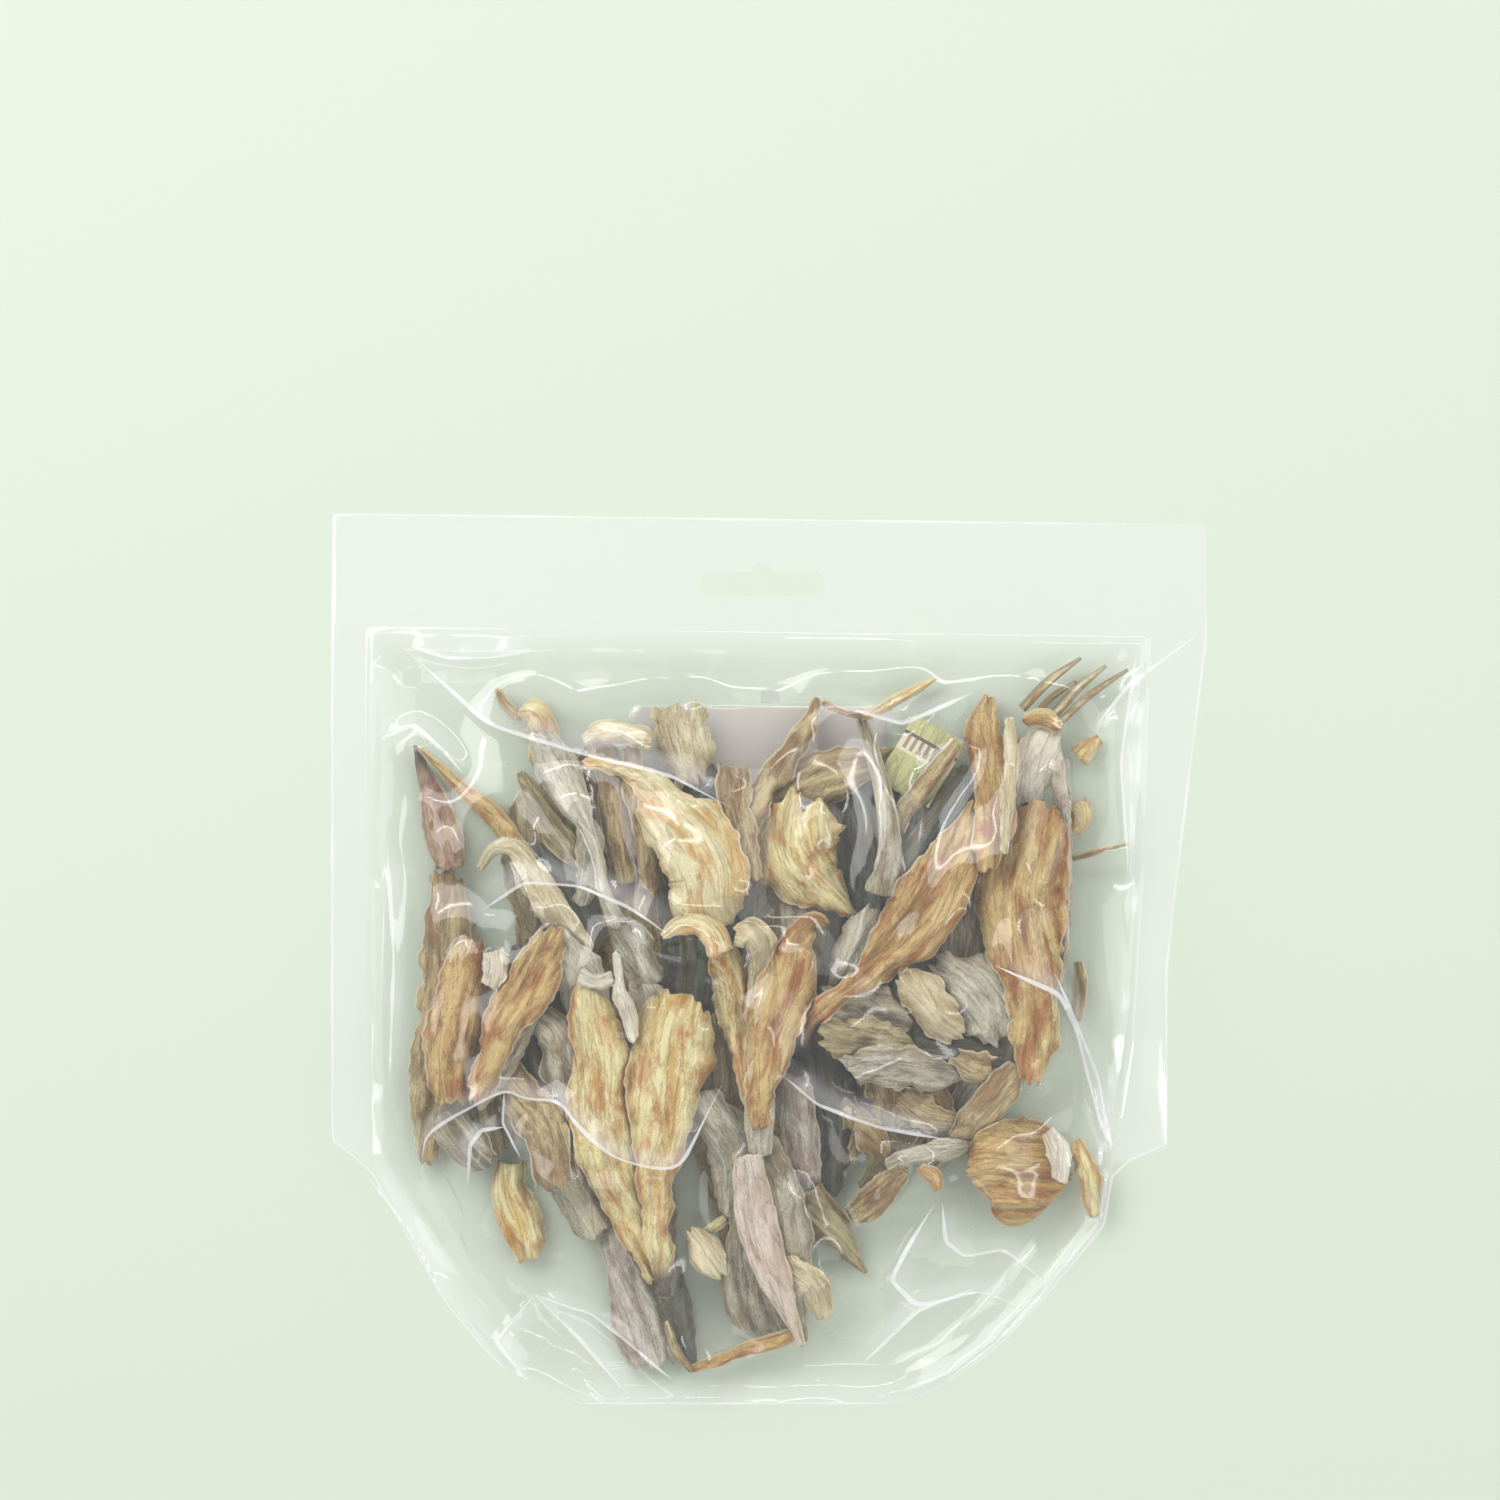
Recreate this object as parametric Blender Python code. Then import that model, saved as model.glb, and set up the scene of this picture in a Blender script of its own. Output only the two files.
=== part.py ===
"""A clear hang bag of dried gurnard, lying on its back with its shown side up.

Axes: +X to the right, +Y towards the header with the hanging slot, +Z up. The origin is
on the surface that the bag lies on, under the middle of its box. The film is drawn over
the heap of dried fillets inside, so the pouch is one solid whose upper side carries the
ridges of the large fillets, and round it run the flat side seals and the flat header.
"""

import math

import bmesh
import bpy
from mathutils import Matrix, Vector

MM = 0.001  # every size below is in millimetres

# The welded envelope
BAG_LENGTH = 228.3
TOP_SKEW = 2.9  # the header's right corner lies this much lower than its left one
PLY = 0.8  # thickness of the welded header and side seals
SEAM_Z = 6.6  # height of the weld line along the rim of the pouch
DROOP = 0.09  # fall of the header and the seals, per millimetre away from the pouch
POUCH_TOP_Y = 82.5  # the weld between the pouch and the header
POUCH_TOP_SLOPE = -0.013

# Outer edges from the top corner down to the foot of the bag, as (x, y)
LEFT_EDGE = [
    (-112.2, 114.15), (-112.2, -47.0), (-102.4, -54.5), (-92.0, -73.0),
    (-83.0, -88.5), (-69.4, -104.5), (-48.8, -114.15),
]
RIGHT_EDGE = [
    (112.2, 111.25), (112.2, 83.0), (109.5, 62.0), (103.8, 15.0), (102.0, -2.0),
    (102.0, -49.0), (88.5, -52.5), (86.0, -68.0), (72.0, -85.5), (60.0, -98.5),
    (46.5, -109.0), (33.8, -114.15),
]
# The weld lines down both sides; below them the pouch runs out to the outer edges
LEFT_SEAM = [(-103.0, POUCH_TOP_Y), (-103.0, -54.0)] + LEFT_EDGE[3:]
RIGHT_SEAM = [(97.0, POUCH_TOP_Y), (95.5, 20.0), (93.0, -20.0), (88.0, -53.0)] + RIGHT_EDGE[7:]

UNDERCUT_RUN = 13.0  # the underside is flat further in from the weld line than this
FLAT_RING = 6.0  # and keeps its small faces this much further in

# The large pieces that lift the film: half width, then (x, y, crest height) along them
FILLETS = {
    "golden_fork_left": (7.0, [(-46, -8, 22.5), (-43, -26, 26.5), (-41, -44, 26.5), (-34, -68, 22.5), (-26, -84, 17)]),
    "golden_fork_right": (9.0, [(-23, -10, 26.5), (-26, -32, 29), (-28, -58, 25), (-24, -84, 18), (-19, -106, 10.5)]),
    "hooked_fork_left": (5.0, [(-22, 8, 25), (-13, 4, 28.5), (-8, -16, 29), (-3, -38, 26.5)]),
    "hooked_fork_right": (7.0, [(12, 8, 26), (6, -2, 29.5), (1, -20, 30.5), (-2, -46, 26.5), (4, -72, 21.5), (8, -98, 12)]),
    "left_fork": (7.0, [(-56, 4, 23), (-66, -14, 25), (-74, -34, 22.5)]),
    "left_fork_edge": (6.0, [(-76, 2, 21.5), (-80, -20, 23), (-81, -38, 20)]),
    "left_blade": (5.0, [(-91, 54, 7.5), (-84, 30, 14), (-84, 0, 17), (-87, -50, 13)]),
    "orange_stick": (2.5, [(-88, 52, 8.5), (-74, 40, 13), (-60, 24, 20)]),
    "upper_curl": (9.0, [(-45, 50, 17), (-30, 44, 23), (-18, 28, 27.5), (-14, 8, 27.5)]),
    "grey_leaf": (5.0, [(-66, 66, 8.5), (-58, 58, 15.5), (-50, 42, 20.5), (-42, 14, 22.5), (-30, -6, 25)]),
    "right_strip": (9.0, [(69, 42, 23), (65, 20, 27.5), (66, 0, 28.5), (68, -16, 26), (65, -30, 20.5)]),
    "right_strip_edge": (5.0, [(57, 66, 14.5), (57, 46, 23), (56, 24, 25)]),
    "pale_crumple": (5.0, [(72, 58, 14.5), (68, 44, 21.5)]),
    "slanting_strip": (7.0, [(50, 38, 23), (42, 18, 26.5), (32, 4, 27.5), (14, -12, 25), (4, -26, 26)]),
    "ragged_sheet": (8.0, [(30, 52, 17), (8, 43, 20.5), (8, 26, 24), (20, 12, 22.5)]),
    "forked_stem": (3.0, [(42, 71, 7.5), (24, 62, 14.5), (29, 43, 20.5), (30, 18, 23)]),
    "upper_block": (6.0, [(-23, 65, 13), (-20, 46, 20.5)]),
    "pale_flakes": (8.0, [(42, -2, 22.5), (52, -10, 23), (58, -18, 22.5)]),
    "grey_flakes": (7.0, [(14, -18, 22.5), (30, -24, 22.5), (48, -34, 21.5)]),
    "drab_tail": (4.0, [(63, -27, 20.5), (46, -46, 18)]),
    "olive_curls": (5.0, [(44, -49, 16.5), (32, -54, 19), (20, -66, 17)]),
    "round_curl": (12.0, [(56, -53, 20.5), (72, -55, 20.5)]),
    "foot_skins": (7.0, [(-10, -50, 22.5), (-8, -70, 19), (-4, -94, 13)]),
    "dark_tail": (6.0, [(8, -58, 21.5), (24, -80, 12)]),
    "left_foot_skins": (6.0, [(-58, -42, 20), (-46, -66, 19), (-28, -100, 10.5)]),
    "lower_left_skins": (5.0, [(-84, -40, 14.5), (-72, -53, 14.5)]),
    "golden_scrap": (4.0, [(-66, -54, 14.5), (-64, -70, 12), (-61, -77, 8.5)]),
    "tail_hook": (2.5, [(-20, -106, 8.5), (8, -96, 11)]),
}
DOME_FALL = 0.35  # share of its height that a fillet loses from its crest to its rim
DOME_POWER = 2.5

COLUMNS = 50
ROWS = 50
HEADER_ROWS = 6
LEAST_SEAL = 1.0  # width of the weld where the pouch runs out to the outer edge

# How the film is drawn tight: sweeps over the grid, and how boldly each one moves it
SWEEPS = 160
BOLDNESS = 1.7

# The Euro hanging slot through the header
SLOT_LENGTH = 32.0
SLOT_HEIGHT = 6.2
SLOT_CENTRE = (-1.7, 96.0)
HUMP_RADIUS = 2.7
HUMP_RISE = 2.7
ARC_SIDES = 32

# The sticker on the back, in a shallow pocket of the underside
LABEL_SIZE = (65.0, 106.0, 0.5)
LABEL_CENTRE = (-2.3, 11.5)
LABEL_CORNER = 2.0
GAP = 0.3

FLAT_ANGLE = math.radians(0.2)
SMOOTH_ANGLE = math.radians(35.0)


def clear_scene():
    for item in list(bpy.data.objects):
        bpy.data.objects.remove(item, do_unlink=True)


def make_collection(name):
    collection = bpy.data.collections.new(name)
    bpy.context.scene.collection.children.link(collection)
    return collection


def make_material(name, colour, roughness):
    material = bpy.data.materials.new(name)
    material.use_nodes = True
    shader = material.node_tree.nodes["Principled BSDF"]
    shader.inputs["Base Color"].default_value = (*colour, 1.0)
    shader.inputs["Roughness"].default_value = roughness
    shader.inputs["Metallic"].default_value = 0.0
    return material


def add_object(name, bm, collection, material=None):
    """Turn a bmesh drawn in millimetres into an object in metres."""
    bmesh.ops.scale(bm, vec=(MM, MM, MM), verts=bm.verts)
    bmesh.ops.recalc_face_normals(bm, faces=bm.faces)
    mesh = bpy.data.meshes.new(name)
    bm.to_mesh(mesh)
    bm.free()
    item = bpy.data.objects.new(name, mesh)
    collection.objects.link(item)
    if material:
        mesh.materials.append(material)
        mesh.shade_smooth()
        mesh.set_sharp_from_angle(angle=SMOOTH_ANGLE)
    return item


def smoothstep(t):
    t = min(max(t, 0.0), 1.0)
    return t * t * (3.0 - 2.0 * t)


def edge_x(edge, y):
    """Where an edge, given from top to bottom, stands at the height y."""
    for (x0, y0), (x1, y1) in zip(edge, edge[1:]):
        if y >= y1:
            share = min(max((y0 - y) / (y0 - y1), 0.0), 1.0)
            return x0 + (x1 - x0) * share
    return edge[-1][0]


def pouch_top(x):
    return POUCH_TOP_Y + POUCH_TOP_SLOPE * x


def grid_place(row, col):
    """The place of a grid point: one column lies in each side seal, six rows in the header."""
    pouch_rows = ROWS - HEADER_ROWS
    foot = -BAG_LENGTH / 2.0
    share = min(row / pouch_rows, 1.0)
    header_share = max(row - pouch_rows, 0) / HEADER_ROWS
    level = foot + (POUCH_TOP_Y - foot) * share + (BAG_LENGTH / 2.0 - POUCH_TOP_Y) * header_share
    left, right = edge_x(LEFT_EDGE, level), edge_x(RIGHT_EDGE, level)
    left_seam = max(edge_x(LEFT_SEAM, level), left + LEAST_SEAL)
    right_seam = min(edge_x(RIGHT_SEAM, level), right - LEAST_SEAL)
    if col == 0 or col == COLUMNS:
        x = left if col == 0 else right
    else:
        x = left_seam + (right_seam - left_seam) * (col - 1) / (COLUMNS - 2)
    slant = POUCH_TOP_SLOPE * x
    y = level + share * slant - header_share * (slant + TOP_SKEW * col / COLUMNS)
    in_weld = row == 0 or row >= pouch_rows or col in (0, 1, COLUMNS - 1, COLUMNS)
    return x, y, in_weld


def from_segment(point, start, end):
    """The distance of a point from a straight stretch, and the share along it."""
    along = end - start
    share = min(max((point - start).dot(along) / along.length_squared, 0.0), 1.0)
    return (point - start - along * share).length, share


def inside_rim(x, y):
    """How far a point is inside the pouch's weld line, negative outside it."""
    point = Vector((x, y))
    rim = [Vector(p) for p in LEFT_SEAM[::-1] + RIGHT_SEAM + LEFT_SEAM[-1:]]
    distance = min(from_segment(point, a, b)[0] for a, b in zip(rim, rim[1:]))
    within = edge_x(LEFT_SEAM, y) <= x <= edge_x(RIGHT_SEAM, y) and y <= pouch_top(x)
    return distance if within else -distance


def fillet_height(point, half_width, crest_line):
    """How high one fillet stands at a point, zero beside it."""
    height = 0.0
    for (x0, y0, z0), (x1, y1, z1) in zip(crest_line, crest_line[1:]):
        distance, share = from_segment(point, Vector((x0, y0)), Vector((x1, y1)))
        off = distance / half_width
        if off < 1.0:
            crest = z0 + (z1 - z0) * share
            height = max(height, crest * (1.0 - DOME_FALL * off**DOME_POWER))
    return height


def heap_height(x, y):
    """The highest fillet under a point of the film."""
    point = Vector((x, y))
    return max(fillet_height(point, *fillet) for fillet in FILLETS.values())


def weld_height(inside):
    """Half way up the welded film, which droops away from the pouch."""
    return SEAM_Z + min(inside, 0.0) * DROOP


def draw_tight(heights, heap, fixed):
    """Let the film shrink like the skin of a drum until it lies on the heap's crests."""
    for _ in range(SWEEPS):
        for row in range(1, ROWS):
            for col in range(1, COLUMNS):
                if (row, col) in fixed:
                    continue
                beside = heights[row, col - 1] + heights[row, col + 1]
                beside += heights[row - 1, col] + heights[row + 1, col]
                here = heights[row, col]
                here += BOLDNESS * (beside / 4.0 - here)
                heights[row, col] = max(here, heap[row, col])
    return heights


def under_side(inside):
    return (weld_height(inside) - PLY / 2.0) * (1.0 - smoothstep(inside / UNDERCUT_RUN))


def make_envelope(collection, film):
    """The pouch, the side seals and the header as one closed body."""
    bm = bmesh.new()
    bmesh.ops.create_grid(bm, x_segments=COLUMNS, y_segments=ROWS, size=0.5)
    inside, heap, heights, fixed = {}, {}, {}, set()
    place = bm.verts.layers.int.new("place")
    for vert in bm.verts:
        row, col = round((vert.co.y + 0.5) * ROWS), round((vert.co.x + 0.5) * COLUMNS)
        x, y, in_weld = grid_place(row, col)
        vert.co = (x, y, 0.0)
        vert[place] = row * (COLUMNS + 1) + col
        inside[row, col] = inside_rim(x, y)
        heap[row, col] = heap_height(x, y)
        heights[row, col] = weld_height(inside[row, col]) + PLY / 2.0
        if in_weld:
            fixed.add((row, col))
    draw_tight(heights, heap, fixed)
    lower = bm.verts[:]
    raised = bmesh.ops.extrude_face_region(bm, geom=bm.faces[:])["geom"]
    upper = [part for part in raised if isinstance(part, bmesh.types.BMVert)]
    for vert in lower:
        vert.co.z = under_side(inside[divmod(vert[place], COLUMNS + 1)])
    for vert in upper:
        vert.co.z = heights[divmod(vert[place], COLUMNS + 1)]
    flat = {vert for vert in lower if inside[divmod(vert[place], COLUMNS + 1)] > UNDERCUT_RUN + FLAT_RING}
    ground = [edge for edge in bm.edges if all(vert in flat for vert in edge.verts)]
    bmesh.ops.dissolve_limit(bm, angle_limit=FLAT_ANGLE, verts=lower, edges=ground)
    return add_object("bag", bm, collection, film)


def make_slot_cutters(collection):
    """A stadium with a round hump on its upper edge, as two cutters that overlap."""
    stadium = bmesh.new()
    radius = SLOT_HEIGHT / 2.0
    bmesh.ops.create_circle(stadium, cap_ends=True, segments=ARC_SIDES, radius=radius)
    half_side = Matrix.Rotation(math.pi / ARC_SIDES, 3, "Z")
    bmesh.ops.rotate(stadium, verts=stadium.verts, matrix=half_side)
    for vert in stadium.verts:
        vert.co.x += math.copysign(SLOT_LENGTH / 2.0 - radius, vert.co.x)
    through = bmesh.ops.extrude_face_region(stadium, geom=stadium.faces[:])["geom"]
    raised = [part for part in through if isinstance(part, bmesh.types.BMVert)]
    bmesh.ops.translate(stadium, vec=(0.0, 0.0, 3.0 * SEAM_Z), verts=raised)
    bmesh.ops.translate(stadium, vec=(*SLOT_CENTRE, -SEAM_Z), verts=stadium.verts)

    hump = bmesh.new()
    bmesh.ops.create_cone(
        hump, cap_ends=True, segments=ARC_SIDES,
        radius1=HUMP_RADIUS, radius2=HUMP_RADIUS, depth=4.0 * SEAM_Z,
    )
    middle = (SLOT_CENTRE[0], SLOT_CENTRE[1] + HUMP_RISE, SEAM_Z / 2.0)
    bmesh.ops.translate(hump, vec=middle, verts=hump.verts)
    shapes = {"slot_stadium": stadium, "slot_hump": hump}
    return [add_object(name, bm, collection) for name, bm in shapes.items()]


def label_block(grow, height, bottom):
    """A thin block with rounded corners over the label's place on the back."""
    bm = bmesh.new()
    bmesh.ops.create_cube(bm, size=1.0)
    size = (LABEL_SIZE[0] + 2.0 * grow, LABEL_SIZE[1] + 2.0 * grow, height)
    bmesh.ops.scale(bm, vec=size, verts=bm.verts)
    corners = [edge for edge in bm.edges if abs(edge.verts[0].co.z - edge.verts[1].co.z) > 0.0]
    bmesh.ops.bevel(
        bm, geom=corners, offset=LABEL_CORNER + grow, affect="EDGES",
        segments=4, profile=0.5, material=-1,
    )
    bmesh.ops.translate(bm, vec=(*LABEL_CENTRE, bottom + height / 2.0), verts=bm.verts)
    return bm


def make_label(collection, paper):
    return add_object("back_label", label_block(0.0, LABEL_SIZE[2], 0.0), collection, paper)


def make_pocket_cutter(collection):
    depth = LABEL_SIZE[2] + GAP
    return add_object("label_pocket", label_block(GAP, 2.0 * depth, -depth), collection)


def cut(item, cutter):
    cutter.hide_render = True
    cutter.display_type = "WIRE"
    modifier = item.modifiers.new("cut " + cutter.name, "BOOLEAN")
    modifier.operation = "DIFFERENCE"
    modifier.solver = "EXACT"
    modifier.object = cutter


def main():
    clear_scene()
    parts = make_collection("dried_gurnard_bag")
    cutters = make_collection("cutters")
    film = make_material("clear_film_over_fish", (0.62, 0.52, 0.38), 0.25)
    paper = make_material("label_paper", (0.72, 0.66, 0.68), 0.7)
    bag = make_envelope(parts, film)
    for cutter in make_slot_cutters(cutters):
        cut(bag, cutter)
    cut(bag, make_pocket_cutter(cutters))
    make_label(parts, paper)


main()
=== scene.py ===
# %% [markdown]
# # Dried gurnard in a clear hang bag
# The real thing is a flat film bag with a hanging slot in its header. In it lies a loose
# heap of dried gurnard: butterflied fillets that curled as they dried, strips of skin,
# tails and scraps. The film is drawn tight over the heap and catches the light in creases.
# The heap is built first, from the ground up, and the film is then draped over it.

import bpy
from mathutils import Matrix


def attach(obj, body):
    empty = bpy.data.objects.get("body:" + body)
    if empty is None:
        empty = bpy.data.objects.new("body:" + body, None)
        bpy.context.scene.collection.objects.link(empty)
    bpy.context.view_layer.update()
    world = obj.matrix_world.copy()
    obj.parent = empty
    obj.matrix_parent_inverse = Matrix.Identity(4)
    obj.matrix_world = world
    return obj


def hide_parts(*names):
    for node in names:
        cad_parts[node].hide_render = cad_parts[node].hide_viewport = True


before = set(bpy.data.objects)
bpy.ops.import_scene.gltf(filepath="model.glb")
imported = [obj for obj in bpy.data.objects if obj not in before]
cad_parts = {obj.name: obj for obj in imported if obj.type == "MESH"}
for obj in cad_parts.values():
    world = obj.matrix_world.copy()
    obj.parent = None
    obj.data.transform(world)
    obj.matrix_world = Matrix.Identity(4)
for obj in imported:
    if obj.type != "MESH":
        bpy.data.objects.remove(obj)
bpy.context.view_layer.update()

# %% Modules and units
import math

import bmesh
import bpy
import numpy as np
from mathutils import Vector
from mathutils.bvhtree import BVHTree

MM = 0.001  # the sizes below are in millimetres, and a mesh is made metres at its end
BODY = "root"


def new_object(name, bm):
    """An object in the scene from a bmesh, which is freed."""
    mesh = bpy.data.meshes.new(name)
    bm.to_mesh(mesh)
    bm.free()
    item = bpy.data.objects.new(name, mesh)
    bpy.context.scene.collection.objects.link(item)
    return item


# %% [markdown]
# ## Reading the solid bag
# The bag's solid says how high the film may stand and how low the heap may reach. Rays
# from above and below read it on a grid of one millimetre, and every later step asks this
# grid instead of the mesh, because looking up a number is much faster than casting a ray.

# %% Heights of the solid bag
CELL = 1.0
SPAN = 116  # the grid runs this far each way from the middle
axis = np.arange(-SPAN, SPAN + 1) * CELL
grid_x, grid_y = np.meshgrid(axis, axis)


def bag_tree():
    """The bag's solid with its loose triangles merged, ready for rays."""
    bm = bmesh.new()
    bm.from_mesh(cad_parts["bag"].data)
    bmesh.ops.remove_doubles(bm, verts=bm.verts, dist=1e-6)
    tree = BVHTree.FromBMesh(bm)
    bm.free()
    return tree


def read_heights(tree, from_above):
    start, way = (0.1, -1.0) if from_above else (-0.1, 1.0)
    heights = np.full(grid_x.shape, np.nan)
    for row, col in np.ndindex(grid_x.shape):
        spot = Vector((grid_x[row, col] * MM, grid_y[row, col] * MM, start))
        hit = tree.ray_cast(spot, Vector((0.0, 0.0, way)))[0]
        if hit:
            heights[row, col] = hit.z / MM
    return heights


tree = bag_tree()
bag_top, bag_foot = read_heights(tree, True), read_heights(tree, False)
inside_bag = ~np.isnan(bag_top)
print("the bag covers", int(inside_bag.sum()), "square millimetres, up to", np.nanmax(bag_top))

# %% Looking up and smoothing a height grid


def look_up(field, x, y):
    """The field's value at places between its cells."""
    col = np.clip((x / CELL + SPAN), 0, 2 * SPAN - 1.001)
    row = np.clip((y / CELL + SPAN), 0, 2 * SPAN - 1.001)
    c, r = col.astype(int), row.astype(int)
    fx, fy = col - c, row - r
    low = field[r, c] * (1 - fx) + field[r, c + 1] * fx
    high = field[r + 1, c] * (1 - fx) + field[r + 1, c + 1] * fx
    return low * (1 - fy) + high * fy


def blur(field, radius):
    """A Gaussian blur along both axes, with the border repeated."""
    reach = int(radius * 3)
    bell = np.exp(-0.5 * (np.arange(-reach, reach + 1) / radius) ** 2)
    bell /= bell.sum()
    for turn in range(field.ndim):
        field = np.moveaxis(field, turn, 0)
        padded = np.concatenate([field[:1].repeat(reach, 0), field, field[-1:].repeat(reach, 0)])
        field = sum(weight * padded[k:k + len(field)] for k, weight in enumerate(bell))
        field = np.moveaxis(field, 0, turn)
    return field


def widest(field, reach):
    """The highest value within reach cells, along each axis in turn."""
    for turn in range(field.ndim):
        field = np.moveaxis(field, turn, 0)
        padded = np.concatenate([field[:1].repeat(reach, 0), field, field[-1:].repeat(reach, 0)])
        field = np.max([padded[k:k + len(field)] for k in range(2 * reach + 1)], axis=0)
        field = np.moveaxis(field, 0, turn)
    return field


def spread(field, steps=4):
    """Fills the unknown cells next to known ones with the mean of those, step by step."""
    for _ in range(steps):
        padded = np.pad(field, 1, constant_values=np.nan)
        parts = [padded[1 + dy:padded.shape[0] - 1 + dy, 1 + dx:padded.shape[1] - 1 + dx]
                 for dy in (-1, 0, 1) for dx in (-1, 0, 1)]
        known = np.sum([~np.isnan(part) for part in parts], axis=0)
        mean = np.nansum(parts, axis=0) / np.maximum(known, 1)
        field = np.where(np.isnan(field) & (known > 0), mean, field)
    return np.where(np.isnan(field), 0.0, field)


bag_top, bag_foot = spread(bag_top), spread(bag_foot)

# %% [markdown]
# ## Uneven by rule
# Dried fish has no two ridges alike. A smooth noise on a lattice of random numbers gives
# every unevenness here: stretched along a fillet it makes fibres, and stretched less it
# makes folds. The lattice is seeded, so each run gives the same fish.

# %% Smooth noise
LATTICE = 97


def soft_noise(u, v, seed):
    """Smooth noise from -1 to 1, with a wave about one unit long."""
    lattice = np.random.default_rng(seed).uniform(-1.0, 1.0, (LATTICE, LATTICE))
    i, j = np.floor(u).astype(int), np.floor(v).astype(int)
    fu, fv = u - i, v - j
    fu, fv = fu * fu * (3 - 2 * fu), fv * fv * (3 - 2 * fv)
    i0, j0, i1, j1 = i % LATTICE, j % LATTICE, (i + 1) % LATTICE, (j + 1) % LATTICE
    near = lattice[i0, j0] * (1 - fu) + lattice[i1, j0] * fu
    far = lattice[i0, j1] * (1 - fu) + lattice[i1, j1] * fu
    return near * (1 - fv) + far * fv


def ridges(u, v, seed):
    """Noise folded at zero: sharp ridges at 1 with rounded troughs between them."""
    fine = soft_noise(2 * u, 2 * v, seed + 1)
    return 1.0 - np.abs(1.4 * soft_noise(u, v, seed) + 0.5 * fine) * 1.6


print("noise runs from", soft_noise(grid_x / 9, grid_y / 9, 1).min())

# %% [markdown]
# ## One sheet of dried fish
# Every piece in the heap is a thin sheet: a strip of flesh or skin along a curved line,
# domed or rolled across, with fibres along it. A grid is the natural start, because its
# columns can run along the fish and its rows across it. The line is given by a few points
# (x, y, half width), and the grid is bent onto it.

# %% The middle line of a strip


def along_points(points, pitch):
    """Catmull-Rom rows through the points, one row each pitch, and the length."""
    rows = np.array(points, float)
    rows = np.vstack([2 * rows[0] - rows[1], rows, 2 * rows[-1] - rows[-2]])
    t = np.linspace(0.0, 1.0, 24, endpoint=False)[:, None]
    runs = []
    for p0, p1, p2, p3 in zip(rows, rows[1:], rows[2:], rows[3:]):
        bend = (2 * p0 - 5 * p1 + 4 * p2 - p3) * t**2 + (3 * p1 - p0 - 3 * p2 + p3) * t**3
        runs.append(0.5 * (2 * p1 + (p2 - p0) * t + bend))
    fine = np.vstack(runs + [rows[-2:-1]])
    gone = np.append(0.0, np.cumsum(np.linalg.norm(np.diff(fine[:, :2], axis=0), axis=1)))
    stations = np.linspace(0.0, gone[-1], max(int(gone[-1] / pitch), 8) + 1)
    rows = np.column_stack([np.interp(stations, gone, column) for column in fine.T])
    return rows, gone[-1]


# %% How a sheet rests on the heap
CLEARANCE = 0.9
STIFFNESS = 6.0  # rows over which a sheet's lift is evened out
heap = bag_foot + 1.2  # the lowest pieces lie just above the film's underside


def rest_on_heap(x, y, z):
    """Lifts each row of a sheet until it clears the heap, and evens the lift out."""
    middle = slice(z.shape[1] // 8, z.shape[1] - z.shape[1] // 8)
    need = (look_up(heap, x, y) + CLEARANCE - z)[:, middle].max(axis=1)
    lift = blur(widest(need, int(1.2 * STIFFNESS) + 1), STIFFNESS)
    return np.maximum(z + lift[:, None], look_up(heap, x, y) + CLEARANCE)


def add_to_heap(x, y, z):
    """Raises the height grid to the sheet's upper side."""
    col = np.rint(x / CELL + SPAN).astype(int).ravel()
    row = np.rint(y / CELL + SPAN).astype(int).ravel()
    np.maximum.at(heap, (row, col), z.ravel())


# %% The sheet itself
PITCH_ALONG = 0.85
PITCH_ACROSS = 0.55
RIM_REACH = 1.18  # the points give a sheet's flat part, and its rims reach further
sheets = []


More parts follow.
